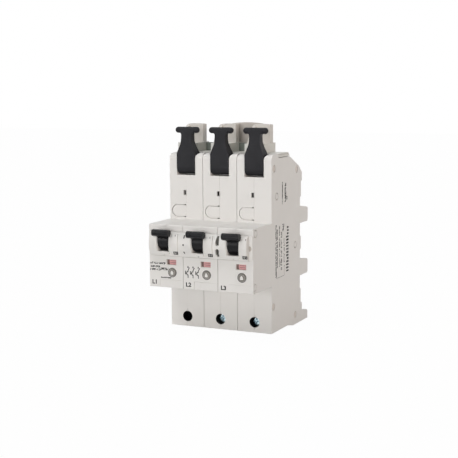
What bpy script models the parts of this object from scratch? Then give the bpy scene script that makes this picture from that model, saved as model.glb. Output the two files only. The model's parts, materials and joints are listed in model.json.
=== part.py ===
# Three-pole main circuit breaker that clamps onto a 40 mm three-busbar system.
# Metres, +Z up, front towards -Y. The frame's origin is the centre of the bounding box's base.
# Sizes below are measured from the rear plane (y = 0), the base plane (z = 0) and,
# across a pole, from that pole's centre.
import math

import bmesh
import bpy
from mathutils import Matrix, Vector

MM = 0.001

# Case
POLE_COUNT = 3
POLE_WIDTH = 27.0 * MM
BODY_DEPTH = 55.2 * MM
TOP_RISE = 29.7 * MM
NOSE_DEPTH = 87.5 * MM
NOSE_BASE = 34.7 * MM
NOSE_HEIGHT = 45.0 * MM
WALL = 1.5 * MM
GAP = 0.3 * MM
RUN_FIT = 0.05 * MM
TOP_CORNER_RADIUS = 4.4 * MM
TOP_EDGE_RADIUS = 2.6 * MM
SHELF_DROP = 3.2 * MM
SHELF_SETBACK = 13.1 * MM
SHELF_LENGTH = 21.0 * MM
REAR_SLOPE_DROP = 11.3 * MM
REAR_SLOPE_SETBACK = 2.6 * MM
BASE_STEP_REAR = 14.0 * MM
BASE_STEP_FRONT = 24.5 * MM
BAND_OFFSET = 22.9 * MM
BAND_HEIGHT = 17.6 * MM
BAND_RISE = 4.3 * MM
BAND_END = 10.4 * MM

# Busbar side
BAR_PITCH = 40.0 * MM
LOWEST_BAR = 18.7 * MM
BAR_HEIGHT = 12.0 * MM
FOOT_REACH = 16.3 * MM
FOOT_HEIGHT = 11.0 * MM
FOOT_SLOPE = 2.1 * MM
FOOT_DROP = 14.2 * MM
FOOT_WALL = 3.15 * MM
PAD_RISE = 1.9 * MM
PAD_HEIGHT = 10.0 * MM
BASE_DROP = 2.2 * MM

# Clamp levers and the sliders that they move
LEVER_SETBACK = 4.6 * MM
LEVER_DROP = 10.2 * MM
LEVER_HUB_RADIUS = 5.2 * MM
LEVER_WIDTH = 14.4 * MM
LEVER_NECK_WIDTH = 8.4 * MM
LEVER_THICKNESS = 4.6 * MM
LEVER_BAR_WIDTH = 19.0 * MM
LEVER_BAR_RADIUS = 2.15 * MM
LEVER_BAR_RISE = 26.7 * MM
LEVER_SHOULDER_RISE = 9.2 * MM
LEVER_NECK_RISE = 19.0 * MM
SLOT_SIDE_GAP = 0.25 * MM
SLOT_FLOOR_GAP = 0.8 * MM
SLOT_CORNER_RADIUS = 3.5 * MM
CLAMP_TRAVEL = 4.5 * MM
COLLAR_RISE = 6.6 * MM
COLLAR_WALL = 1.0 * MM
COLLAR_RIGHT = 2.2 * MM
SLIDER_RISE = 13.7 * MM
SLIDER_HOLD = 3.0 * MM
SLIDER_CREST = 6.0 * MM
GUSSET_WIDTH = 2.4 * MM
BARRIER_SPAN = (-8.0 * MM, 21.5 * MM)
BARRIER_RISE = 0.8 * MM
BARRIER_ARCH = 1.3 * MM
BARRIER_THICKNESS = 1.2 * MM
STEM_WIDTH = 7.0 * MM
STEM_DEPTH = 8.0 * MM
STEM_LEFT = 10.0 * MM
STEM_SETBACK = 12.9 * MM
HOOK_WIDTH = 6.0 * MM
HOOK_THICKNESS = 3.0 * MM
HOOK_STRIP = 2.0 * MM
HOOK_REACH = 11.0 * MM
HOOK_LIP = 4.0 * MM
HOOK_SETBACK = 5.5 * MM

# Toggles
TOGGLE_SETBACK = 1.9 * MM
TOGGLE_RISE = 11.0 * MM
DRUM_RADIUS = 6.9 * MM
DRUM_WIDTH = 8.2 * MM
DRUM_GAP = 0.4 * MM
HANDLE_REACH = 11.25 * MM
HANDLE_ANGLE = math.radians(33.4)
HANDLE_THICKNESS = 3.8 * MM
HANDLE_WIDTH = 13.4 * MM
HANDLE_WIDE_START = 9.0 * MM
HANDLE_BAR_RADIUS = 2.4 * MM
HANDLE_BAR_WIDTH = 14.4 * MM

# Axles and rivets
AXLE_RADIUS = 1.4 * MM
RIVET_HEAD_RADIUS = 2.4 * MM
RIVET_HEAD_DEPTH = 0.7 * MM
RIVET_RECESS_RADIUS = 2.75 * MM
RIVET_RECESS_DEPTH = 1.0 * MM
TOP_RIVET = (7.1 * MM, 13.6 * MM)
FRONT_RIVET = (3.3 * MM, 19.2 * MM)
REAR_RIVET = (9.3 * MM, 5.3 * MM)
UPPER_CLIP = (9.7 * MM, 18.4 * MM)
NOSE_TOP_CLIP = (4.0 * MM, 3.5 * MM)
NOSE_BASE_CLIP = (3.0 * MM, 4.1 * MM)
REAR_CLIP = (9.6 * MM, 58.5 * MM)

# Terminals
SCREW_HEIGHT = 7.45 * MM
SCREW_HOLE_RADIUS = 3.9 * MM
SCREW_HEAD_RADIUS = 3.5 * MM
SCREW_HEAD_HEIGHT = 2.4 * MM
SCREW_HEAD_SETBACK = 4.0 * MM
SCREW_SLOT = 1.0 * MM
SCREW_RADIUS = 2.3 * MM
SCREW_LENGTH = 7.5 * MM
SCREW_COLLAR_RADIUS = 5.1 * MM
CAGE_WIDTH = 13.0 * MM
CAGE_DEPTH = 14.8 * MM
CAGE_HEIGHT = 11.0 * MM
CAGE_SETBACK = 10.4 * MM
STRIP_THICKNESS = 1.6 * MM
WIRE_WIDTH = 9.0 * MM
WIRE_DEPTH = 8.4 * MM

# Current path and trip parts inside each pole
CONTACT_LEFT = 1.0 * MM
CONTACT_WIDTH = 8.5 * MM
FEED_CLEARANCE = 8.6 * MM
COIL_RADIUS = 6.0 * MM
COIL_BORE = 3.0 * MM
COIL_LENGTH = 20.0 * MM
COIL_RISE = 4.3 * MM
COIL_INSET = 27.2 * MM
COIL_TURNS = 5
PLUNGER_RISE = 3.0 * MM
PLUNGER_LENGTH = 20.5 * MM
FIXED_CONTACT_SETBACK = 11.2 * MM
CONTACT_TIP = 1.2 * MM
ARM_ADVANCE = 2.8 * MM
ARM_DROP = 17.7 * MM
ARM_BOSS_RADIUS = 3.6 * MM
ARM_WIDTH = 5.0 * MM
ARM_THICKNESS = 3.0 * MM
ARM_OVERLAP = 1.6 * MM
CHUTE_RISE = 12.3 * MM
CHUTE_PLATES = 8
CHUTE_PITCH = 3.1 * MM
CHUTE_PLATE = 1.0 * MM
CHUTE_DEPTH = 15.0 * MM
CHUTE_WIDTH = 12.0 * MM
CHUTE_CLEARANCE = 3.5 * MM
BIMETAL_HEIGHT = 34.0 * MM
BIMETAL_SETBACK = 6.2 * MM
BIMETAL_DROP = 11.7 * MM
BIMETAL_THICKNESS = 1.0 * MM
BIMETAL_WIDTH = 6.0 * MM

# Windows, flags and buttons
WINDOW_LEFT = 0.3 * MM
WINDOW_WIDTH = 7.7 * MM
WINDOW_DROP = 6.4 * MM
WINDOW_HEIGHT = 3.8 * MM
FLAG_THICKNESS = 1.0 * MM
FLAG_MARGIN = 0.3 * MM
BUTTON_SHIFT = 4.8 * MM
BUTTON_DROP = 11.8 * MM
BUTTON_RADIUS = 2.5 * MM
BUTTON_RISE = 0.6 * MM
BUTTON_FLANGE = 0.9 * MM
TEST_HOLE = (1.9 * MM, 3.5 * MM)
TEST_HOLE_RISE = 17.9 * MM

# Worked out from the sizes above
HALF_POLE = POLE_WIDTH / 2
SIDE = HALF_POLE - GAP / 2
INNER_SIDE = SIDE - WALL
TOP_BAR = LOWEST_BAR + (POLE_COUNT - 1) * BAR_PITCH
BODY_HEIGHT = TOP_BAR + TOP_RISE
SHELF_HEIGHT = BODY_HEIGHT - SHELF_DROP
SHELF_FRONT = BODY_DEPTH - SHELF_SETBACK
SHELF_REAR = SHELF_FRONT - SHELF_LENGTH
REAR_SLOPE_END = BODY_HEIGHT - REAR_SLOPE_DROP
NOSE_TOP = NOSE_BASE + NOSE_HEIGHT
BAND_BASE = NOSE_BASE + BAND_OFFSET
BAND_TOP = BAND_BASE + BAND_HEIGHT
LEVER_PIVOT = (-BODY_DEPTH + LEVER_SETBACK, BODY_HEIGHT - LEVER_DROP)
SLOT_FLOOR = LEVER_PIVOT[1] - LEVER_HUB_RADIUS - SLOT_FLOOR_GAP
SLOT_HALF = LEVER_WIDTH / 2 + SLOT_SIDE_GAP
SLOT_BACK = LEVER_PIVOT[0] + LEVER_HUB_RADIUS + DRUM_GAP
COLLAR_HEIGHT = BODY_HEIGHT + COLLAR_RISE
SLIDER_TOP = COLLAR_HEIGHT + SLIDER_RISE
BARRIER_TOP = SLIDER_TOP + BARRIER_RISE
STEM_FRONT = SHELF_REAR + STEM_SETBACK
TOGGLE_AXIS = (-NOSE_DEPTH + TOGGLE_SETBACK, BAND_BASE + TOGGLE_RISE)
FRONT_REACH = -TOGGLE_AXIS[0] + HANDLE_REACH * math.cos(HANDLE_ANGLE) + HANDLE_BAR_RADIUS
FRAME_Y = (FRONT_REACH - FOOT_REACH) / 2
FRAME_Z = BASE_DROP
HOLE_RADIUS = AXLE_RADIUS + RUN_FIT
RIVET_PLACES = (
    (-TOP_RIVET[0], BODY_HEIGHT - TOP_RIVET[1]),
    (-BODY_DEPTH + FRONT_RIVET[0], FRONT_RIVET[1]),
    (-REAR_RIVET[0], REAR_RIVET[1]),
)
CLIP_PLACES = (
    (-BODY_DEPTH + UPPER_CLIP[0], NOSE_TOP + UPPER_CLIP[1]),
    (-NOSE_DEPTH + NOSE_TOP_CLIP[0], NOSE_TOP - NOSE_TOP_CLIP[1]),
    (-NOSE_DEPTH + NOSE_BASE_CLIP[0], NOSE_BASE + NOSE_BASE_CLIP[1]),
    (-REAR_CLIP[0], REAR_CLIP[1]),
)
GUIDE_FRONT = -SHELF_FRONT + GAP
GUIDE_REAR = -SHELF_REAR + GAP
HOOK_LEFT = -STEM_LEFT + (STEM_WIDTH - HOOK_WIDTH) / 2
FOOT_INNER = SIDE - FOOT_WALL
HOOK_ARM = TOP_BAR + BAR_HEIGHT / 2 + GAP + CLAMP_TRAVEL
COIL_BASE = NOSE_TOP + COIL_RISE
COIL_TOP = COIL_BASE + COIL_LENGTH
COIL_X = INNER_SIDE - GAP - COIL_RADIUS
COIL_SETBACK = BODY_DEPTH - COIL_INSET
FEED_SETBACK = COIL_SETBACK - COIL_RADIUS - FEED_CLEARANCE
FIXED_CONTACT_TOP = COIL_BASE - GAP
FIXED_CONTACT_FRONT = BODY_DEPTH - FIXED_CONTACT_SETBACK
ARM_PIVOT = (-BODY_DEPTH - ARM_ADVANCE, NOSE_TOP - ARM_DROP)
ARM_TIP = -FIXED_CONTACT_FRONT + ARM_OVERLAP
CHUTE_BASE = NOSE_BASE + CHUTE_RISE
CHUTE_REAR = FEED_SETBACK + STRIP_THICKNESS + CHUTE_CLEARANCE
BIMETAL_FRONT = BODY_DEPTH - BIMETAL_SETBACK
BIMETAL_BASE = NOSE_BASE - BIMETAL_DROP
STRIP_FRONT = BODY_DEPTH - SCREW_HEAD_SETBACK - SCREW_HEAD_HEIGHT - SCREW_LENGTH - GAP
CAGE_FRONT = BODY_DEPTH - CAGE_SETBACK
CAGE_BASE = SCREW_HEIGHT - CAGE_HEIGHT / 2
WINDOW_BASE = BAND_BASE - WINDOW_DROP
BUTTON_PLACE = (BUTTON_SHIFT, BAND_BASE - BUTTON_DROP)


def clear_scene():
    for item in list(bpy.data.objects):
        bpy.data.objects.remove(item, do_unlink=True)


def make_material(name, colour, roughness, metallic=0.0):
    material = bpy.data.materials.new(name)
    material.use_nodes = True
    shader = material.node_tree.nodes["Principled BSDF"]
    shader.inputs["Base Color"].default_value = (*colour, 1.0)
    shader.inputs["Roughness"].default_value = roughness
    shader.inputs["Metallic"].default_value = metallic
    material.diffuse_color = (*colour, 1.0)
    return material


def empty(name, location, parent=None):
    item = bpy.data.objects.new(name, None)
    item.location = location
    item.parent = parent
    bpy.context.collection.objects.link(item)
    return item


def finish_mesh(name, bm, origin):
    bmesh.ops.translate(bm, verts=bm.verts, vec=-Vector(origin))
    bmesh.ops.recalc_face_normals(bm, faces=bm.faces)
    mesh = bpy.data.meshes.new(name)
    bm.to_mesh(mesh)
    bm.free()
    return mesh


def piece(name, bm, material, parent, origin=(0.0, 0.0, 0.0), smooth=False):
    """Makes an object from a mesh drawn in the parent's frame, with its own origin."""
    mesh = finish_mesh(name, bm, origin)
    own = material.copy()
    own.name = name + "_finish"
    mesh.materials.append(own)
    if smooth:
        mesh.shade_smooth()
        mesh.set_sharp_from_angle(angle=math.radians(35))
    item = bpy.data.objects.new(name, mesh)
    item.location = origin
    item.parent = parent
    bpy.context.collection.objects.link(item)
    return item


def combine(item, bm, operation, label):
    """Adds a Boolean whose operand is a hidden tool, drawn in the same frame as the item."""
    tool = bpy.data.objects.new(item.name + "_" + label, finish_mesh(label, bm, (0.0, 0.0, 0.0)))
    tool.parent = item.parent
    tool.hide_render = True
    tool.display_type = "WIRE"
    bpy.context.collection.objects.link(tool)
    modifier = item.modifiers.new(label, "BOOLEAN")
    modifier.operation = operation
    modifier.object = tool
    modifier.solver = "EXACT"


def clean_outline(points):
    kept = []
    for point in points:
        if not kept or (Vector(point) - Vector(kept[-1])).length > 1e-7:
            kept.append(point)
    if (Vector(kept[0]) - Vector(kept[-1])).length < 1e-7:
        kept.pop()
    return kept


def prism(outline, low, high, axis="X"):
    """Extrudes an outline of (y, z) along X, of (x, z) along Y, or of (x, y) along Z."""
    places = {
        "X": lambda a, b: (low, a, b),
        "Y": lambda a, b: (a, low, b),
        "Z": lambda a, b: (a, b, low),
    }
    directions = {"X": (1, 0, 0), "Y": (0, 1, 0), "Z": (0, 0, 1)}
    bm = bmesh.new()
    corners = [bm.verts.new(places[axis](a, b)) for a, b in clean_outline(outline)]
    face = bm.faces.new(corners)
    swept = bmesh.ops.extrude_face_region(bm, geom=[face])
    moved = [part for part in swept["geom"] if isinstance(part, bmesh.types.BMVert)]
    bmesh.ops.translate(bm, verts=moved, vec=Vector(directions[axis]) * (high - low))
    return bm


def box(x, y, z):
    return prism([(y[0], z[0]), (y[1], z[0]), (y[1], z[1]), (y[0], z[1])], x[0], x[1])


def arc(centre, radius, start, end, steps):
    turns = [start + (end - start) * step / steps for step in range(steps + 1)]
    return [
        (centre[0] + radius * math.cos(math.radians(turn)), centre[1] + radius * math.sin(math.radians(turn)))
        for turn in turns
    ]


def circle(centre, radius, steps=24):
    return arc(centre, radius, 0, 360 - 360 / steps, steps - 1)


def rod(centre, radius, low, high, axis="X", steps=24):
    return prism(circle(centre, radius, steps), low, high, axis)


def turned(profile, centre, axis, steps=24):
    """Turns (radius, height) points, outer side first, about an axis through the centre."""
    frames = {
        "X": Matrix(((0, 0, 1), (1, 0, 0), (0, 1, 0))),
        "Y": Matrix(((1, 0, 0), (0, 0, 1), (0, 1, 0))),
        "Z": Matrix(((1, 0, 0), (0, 1, 0), (0, 0, 1))),
    }
    bm = bmesh.new()
    rings = []
    for radius, height in profile:
        ring = []
        for step in range(steps if radius > 0 else 1):
            turn = 2 * math.pi * step / steps
            spot = Vector((radius * math.cos(turn), radius * math.sin(turn), height))
            ring.append(bm.verts.new(frames[axis] @ spot + Vector(centre)))
        rings.append(ring)
    closed = profile[0] == profile[-1]
    if closed:
        bmesh.ops.delete(bm, geom=rings[-1], context="VERTS")
        rings[-1] = rings[0]
    for lower, upper in zip(rings, rings[1:]):
        for step in range(steps):
            after = (step + 1) % steps
            corners = [lower[step % len(lower)], lower[after % len(lower)]]
            corners += [upper[after % len(upper)], upper[step % len(upper)]]
            unique = list(dict.fromkeys(corners))
            if len(unique) > 2:
                bm.faces.new(unique)
    return bm


def join(first, *others):
    """Puts the shapes, which lie apart from each other, into one mesh."""
    for other in others:
        mesh = bpy.data.meshes.new("joined")
        other.to_mesh(mesh)
        other.free()
        first.from_mesh(mesh)
        bpy.data.meshes.remove(mesh)
    return first


def bar_height(pole):
    """Centre height of the busbar that the pole feeds from: the first pole takes the top one."""
    return LOWEST_BAR + (POLE_COUNT - 1 - pole) * BAR_PITCH


def foot_outline(level, top_setback=0.0):
    """The top, end and underside of one foot, from its root on the rear wall downwards."""
    top = level - FOOT_DROP
    chamfer = 1.2 * MM
    return [
        (top_setback, top + FOOT_SLOPE * (1 - top_setback / FOOT_REACH)),
        (FOOT_REACH - chamfer, top),
        (FOOT_REACH, top - chamfer),
        (FOOT_REACH, top - FOOT_HEIGHT + chamfer),
        (FOOT_REACH - chamfer, top - FOOT_HEIGHT),
        (0.0, top - FOOT_HEIGHT),
    ]


def pad_outline(level, rise=PAD_RISE):
    chamfer = 1.0 * MM
    half = PAD_HEIGHT / 2
    return [
        (0.0, level + half + chamfer / 2),
        (rise, level + half - chamfer / 2),
        (rise, level - half + chamfer / 2),
        (0.0, level - half - chamfer / 2),
    ]


def case_outline():
    """Side outline of a pole, drawn from the base's front corner up the front and down the rear."""
    lip = 0.5 * MM
    band_middle = (BAND_BASE + BAND_TOP) / 2
    points = [(-BODY_DEPTH, 0.0), (-BODY_DEPTH, NOSE_BASE), (-NOSE_DEPTH, NOSE_BASE), (-NOSE_DEPTH, BAND_BASE)]
    for share in (-1.0, -0.5, 0.0, 0.5, 1.0):
        rise = BAND_RISE * (1 - 0.37 * share * share)
        points.append((-NOSE_DEPTH - rise, band_middle + share * (BAND_HEIGHT / 2 - lip)))
    points += [(-NOSE_DEPTH, BAND_TOP), (-NOSE_DEPTH, NOSE_TOP), (-BODY_DEPTH, NOSE_TOP)]
    corner = (-BODY_DEPTH + TOP_CORNER_RADIUS, BODY_HEIGHT - TOP_CORNER_RADIUS)
    points += arc(corner, TOP_CORNER_RADIUS, 180, 90, 5)
    points += [(-SHELF_FRONT, BODY_HEIGHT), (-SHELF_FRONT, SHELF_HEIGHT), (-SHELF_REAR, SHELF_HEIGHT)]
    hook_base = TOP_BAR + BAR_HEIGHT / 2 + 2 * GAP
    hook_rise = 3.7 * MM
    points += [(-REAR_SLOPE_SETBACK, REAR_SLOPE_END), (hook_rise, REAR_SLOPE_END - 5.4 * MM), (hook_rise, hook_base)]
    points += [(PAD_RISE, hook_base)] + pad_outline(TOP_BAR)[2:]
    points += foot_outline(TOP_BAR)
    points += pad_outline(TOP_BAR - BAR_PITCH)
    points += foot_outline(TOP_BAR - BAR_PITCH)
    points += pad_outline(LOWEST_BAR)[:3]
    rest_rise = 4.4 * MM
    rest_top = LOWEST_BAR - BAR_HEIGHT / 2 - 2 * GAP
    lowest_foot = foot_outline(LOWEST_BAR, rest_rise)
    points += [(PAD_RISE, rest_top), (rest_rise, rest_top)] + lowest_foot[:3]
    points += [(FOOT_REACH, -BASE_DROP), (-BASE_STEP_REAR, -BASE_DROP), (-BASE_STEP_FRONT, 0.0)]
    return points


def cavity_outline():
    """The hollow in each half shell: the case's outline, one wall in, without the lever's well."""
    front = -BODY_DEPTH + WALL
    nose = -NOSE_DEPTH + WALL
    roof = SHELF_HEIGHT - WALL
    slope = (SHELF_HEIGHT - REAR_SLOPE_END) / (SHELF_REAR - REAR_SLOPE_SETBACK)
    return [
        (front, WALL), (front, NOSE_BASE + WALL), (nose, NOSE_BASE + WALL), (nose, NOSE_TOP - WALL),
        (front, NOSE_TOP - WALL), (front, SLOT_FLOOR - WALL), (-SHELF_FRONT, SLOT_FLOOR - WALL),
        (-SHELF_FRONT, roof), (-SHELF_REAR - WALL, roof),
        (-WALL, roof - slope * SHELF_REAR), (-WALL, WALL),
    ]


def lever_slot():
    """The well for a lever, open at the front and the top, with flared top corners."""
    flare = SLOT_CORNER_RADIUS
    over = 2 * MM
    right = arc((SLOT_HALF + flare, BODY_HEIGHT - flare), flare, 180, 90, 5)
    outline = [(-SLOT_HALF, SLOT_FLOOR), (SLOT_HALF, SLOT_FLOOR)] + right
    outline += [(SLOT_HALF + flare, BODY_HEIGHT + over), (-SLOT_HALF - flare, BODY_HEIGHT + over)]
    outline += [(-x, z) for x, z in reversed(right)]
    return prism(outline, -BODY_DEPTH - over, SLOT_BACK, "Y")


def side_holes(places):
    return join(*[rod(place, HOLE_RADIUS, -HALF_POLE - MM, HALF_POLE + MM, steps=16) for place in places])


def make_shell(side, pole, material, parent):
    """One half of a pole's case; side is -1 for the left half and 1 for the right."""
    label = "left" if side < 0 else "right"
    span = (-SIDE, -GAP / 2) if side < 0 else (GAP / 2, SIDE)
    shell = piece(f"case_{label}_{pole + 1}", prism(case_outline(), *span), material, parent)
    hollow = (-INNER_SIDE, MM) if side < 0 else (-MM, INNER_SIDE)
    combine(shell, prism(cavity_outline(), *hollow), "DIFFERENCE", "hollow")
    combine(shell, lever_slot(), "DIFFERENCE", "lever_slot")
    rear = (0.0, FOOT_REACH + 2 * MM)
    between_feet = box((-FOOT_INNER, FOOT_INNER), rear, (-2 * BASE_DROP, BODY_HEIGHT))
    combine(shell, between_feet, "DIFFERENCE", "between_feet")
    drum_half = DRUM_WIDTH / 2 + GAP
    drum_well = rod(TOGGLE_AXIS, DRUM_RADIUS + DRUM_GAP, -drum_half, drum_half, steps=32)
    combine(shell, drum_well, "DIFFERENCE", "drum_well")
    handle_base = TOGGLE_AXIS[1] - DRUM_RADIUS - DRUM_GAP
    front = (-NOSE_DEPTH - 2 * BAND_RISE, -NOSE_DEPTH + 2 * WALL)
    handle_way = box((-drum_half, drum_half), front, (handle_base, BAND_TOP + GAP))
    combine(shell, handle_way, "DIFFERENCE", "handle_way")
    wire_front = -STRIP_FRONT + STRIP_THICKNESS - GAP
    wire_way = box((-WIRE_WIDTH / 2, WIRE_WIDTH / 2), (wire_front, wire_front + WIRE_DEPTH), (-MM, 2 * WALL))
    collar_end = -BODY_DEPTH + SCREW_HEAD_SETBACK + SCREW_HEAD_HEIGHT - GAP
    turn = -90 * side
    collar = arc((side * GAP / 2, SCREW_HEIGHT), SCREW_COLLAR_RADIUS, turn, turn + 180, 12)
    combine(shell, prism(collar, -BODY_DEPTH + WALL / 2, collar_end, "Y"), "UNION", "screw_collar")
    screw_way = rod((0.0, SCREW_HEIGHT), SCREW_HOLE_RADIUS, -BODY_DEPTH - MM, collar_end + MM, "Y")
    combine(shell, join(wire_way, screw_way), "DIFFERENCE", "terminal")
    if side < 0:
        cut_left(shell, pole)
    else:
        cut_right(shell, pole)
    if pole == (0 if side < 0 else POLE_COUNT - 1):
        cut_outer_face(shell, side)
        axle_end = rod(TOGGLE_AXIS, HOLE_RADIUS, *sorted((side * INNER_SIDE, -side * MM)), steps=16)
        combine(shell, axle_end, "DIFFERENCE", "axle_end")
    else:
        combine(shell, side_holes((TOGGLE_AXIS, ARM_PIVOT)), "DIFFERENCE", "axles")
    combine(shell, side_holes((LEVER_PIVOT, *RIVET_PLACES)), "DIFFERENCE", "rivets")


def cut_outer_face(shell, side):
    """Sinks the rivet heads and outlines the clips on the breaker's own left or right face."""
    floor, outside = side * (SIDE - RIVET_RECESS_DEPTH), side * (SIDE + MM)
    radius = RIVET_RECESS_RADIUS
    places = (LEVER_PIVOT, *RIVET_PLACES)
    recesses = [rod(place, radius, *sorted((floor, outside)), steps=20) for place in places]
    combine(shell, join(*recesses), "DIFFERENCE", "recesses")
    inner = radius - 2 * GAP
    ring = [(radius, floor), (radius, outside), (inner, outside), (inner, floor), (radius, floor)]
    clips = [turned(ring, (0.0, *place), "X", 16) for place in CLIP_PLACES]
    combine(shell, join(*clips), "DIFFERENCE", "clips")


def cut_left(shell, pole):
    """The clamp slider's way, the hook's way and the test hole are in the left half."""
    stem_x = (-STEM_LEFT - GAP, -STEM_LEFT + STEM_WIDTH + GAP)
    stem_y = (-STEM_FRONT - GAP, -STEM_FRONT + STEM_DEPTH + GAP)
    stem_way = box(stem_x, stem_y, (SHELF_HEIGHT - 2 * WALL, SHELF_HEIGHT + MM))
    low, high = hook_span(pole)
    hook_x = (HOOK_LEFT - GAP, HOOK_LEFT + HOOK_WIDTH + GAP)
    hook_way = box(hook_x, (-2 * WALL, 2 * PAD_RISE), (low - CLAMP_TRAVEL - GAP, high + GAP))
    corner = TOP_EDGE_RADIUS
    edge = [(-SIDE - MM, BODY_HEIGHT - corner)]
    edge += arc((-SIDE + corner, BODY_HEIGHT - corner), corner, 180, 90, 4)
    edge += [(-SIDE + corner, BODY_HEIGHT + MM), (-SIDE - MM, BODY_HEIGHT + MM)]
    combine(shell, prism(edge, -BODY_DEPTH - MM, GUIDE_FRONT, "Y"), "DIFFERENCE", "top_edge")
    width, height = TEST_HOLE
    base = NOSE_TOP + TEST_HOLE_RISE
    test_hole = box((-width - GAP, -GAP), (-BODY_DEPTH - MM, -BODY_DEPTH + 2 * WALL), (base, base + height))
    combine(shell, join(stem_way, hook_way, test_hole), "DIFFERENCE", "ways")


def cut_right(shell, pole):
    """The busbar contact, the flag window and the button are in the right half."""
    level = bar_height(pole)
    tail = STRIP_THICKNESS / 2 + GAP
    contact_x = (CONTACT_LEFT - GAP, CONTACT_LEFT + CONTACT_WIDTH + GAP)
    contact_way = box(contact_x, (-2 * WALL, MM), (level - tail, level + tail))
    front = (-NOSE_DEPTH - MM, -NOSE_DEPTH + 2 * WALL)
    window_x = (WINDOW_LEFT, WINDOW_LEFT + WINDOW_WIDTH)
    window = box(window_x, front, (WINDOW_BASE, WINDOW_BASE + WINDOW_HEIGHT))
    button = rod(BUTTON_PLACE, BUTTON_RADIUS + GAP, *front, "Y", 20)
    combine(shell, join(contact_way, window, button), "DIFFERENCE", "ways")
    if pole == POLE_COUNT - 1:
        depth = (-NOSE_DEPTH - 2 * BAND_RISE, -NOSE_DEPTH)
        band_end = box((BAND_END, HALF_POLE + MM), depth, (BAND_BASE - MM, BAND_TOP + MM))
        combine(shell, band_end, "DIFFERENCE", "band_end")


def make_lever(pole, material, parent):
    """T-handled clamp lever: its side outline cut to its front outline, with a bar across the top."""
    y, z = LEVER_PIVOT
    hub = LEVER_HUB_RADIUS
    bar = (y - 1.4 * MM, z + LEVER_BAR_RISE)
    front = y - hub
    shoulder = z + LEVER_SHOULDER_RISE
    neck = z + LEVER_NECK_RISE
    neck_front = bar[0] - LEVER_THICKNESS / 2
    neck_rear = bar[0] + LEVER_THICKNESS / 2
    side = arc((y, z), hub, 180, 360, 14)
    side += [(y + 0.75 * hub, z + 0.76 * LEVER_SHOULDER_RISE), (y + 0.6 * hub, shoulder + 2 * MM)]
    side += [(neck_rear + 0.4 * MM, neck), (neck_rear, bar[1]), (neck_front, bar[1])]
    side += [(neck_front, neck + 3 * MM), (neck_front - 0.5 * MM, neck), (front, shoulder)]
    half, slim = LEVER_WIDTH / 2, LEVER_NECK_WIDTH / 2
    run = neck - shoulder
    right = [(half, z - hub - MM), (half, shoulder)]
    for step in range(1, 7):
        share = step / 6
        right.append((half - (half - slim) * (3 * share ** 2 - 2 * share ** 3) ** 0.8, shoulder + run * share))
    flare = 1.3 * MM
    flare_z = bar[1] - LEVER_BAR_RADIUS - flare
    right += [(slim, flare_z)] + arc((slim + flare, flare_z), flare, 180, 90, 4)
    right += [(slim + flare, bar[1])]
    outline = right + [(-x, height) for x, height in reversed(right)]
    lever = piece(f"lever_{pole + 1}", prism(side, -half - MM, half + MM), material, parent, (0.0, y, z), True)
    combine(lever, prism(outline, y - 3 * hub, y + 3 * hub, "Y"), "INTERSECT", "front_outline")
    reach = LEVER_BAR_WIDTH / 2
    radius = LEVER_BAR_RADIUS
    ends = [(0.0, -reach), (radius * 0.72, -reach + 0.3 * radius), (radius, -reach + radius)]
    ends += [(size, -height) for size, height in reversed(ends)]
    combine(lever, turned(ends, (0.0, *bar), "X", 20), "UNION", "bar")
    combine(lever, rod((y, z), HOLE_RADIUS, -2 * half, 2 * half, steps=16), "DIFFERENCE", "axle_hole")
    return lever


def make_guide(pole, material, parent):
    """Cover plate on the case's shelf, with the collar that the clamp slider runs in."""
    base = SHELF_HEIGHT + GAP
    slope = 3.0 * MM
    plate = [(GUIDE_FRONT, base), (GUIDE_FRONT, BODY_HEIGHT), (GUIDE_REAR - slope, BODY_HEIGHT), (GUIDE_REAR, base)]
    guide = piece(f"clamp_guide_{pole + 1}", prism(plate, -SIDE, SIDE), material, parent)
    collar = box((-SIDE, COLLAR_RIGHT), (GUIDE_FRONT, GUIDE_REAR - GAP), (base + MM, COLLAR_HEIGHT))
    combine(guide, collar, "UNION", "collar")
    inner_x = (-SIDE + COLLAR_WALL, COLLAR_RIGHT - COLLAR_WALL)
    inner_y = (GUIDE_FRONT + COLLAR_WALL, GUIDE_REAR - GAP - COLLAR_WALL)
    combine(guide, box(inner_x, inner_y, (base - MM, COLLAR_HEIGHT + MM)), "DIFFERENCE", "bore")
    return guide


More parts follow.
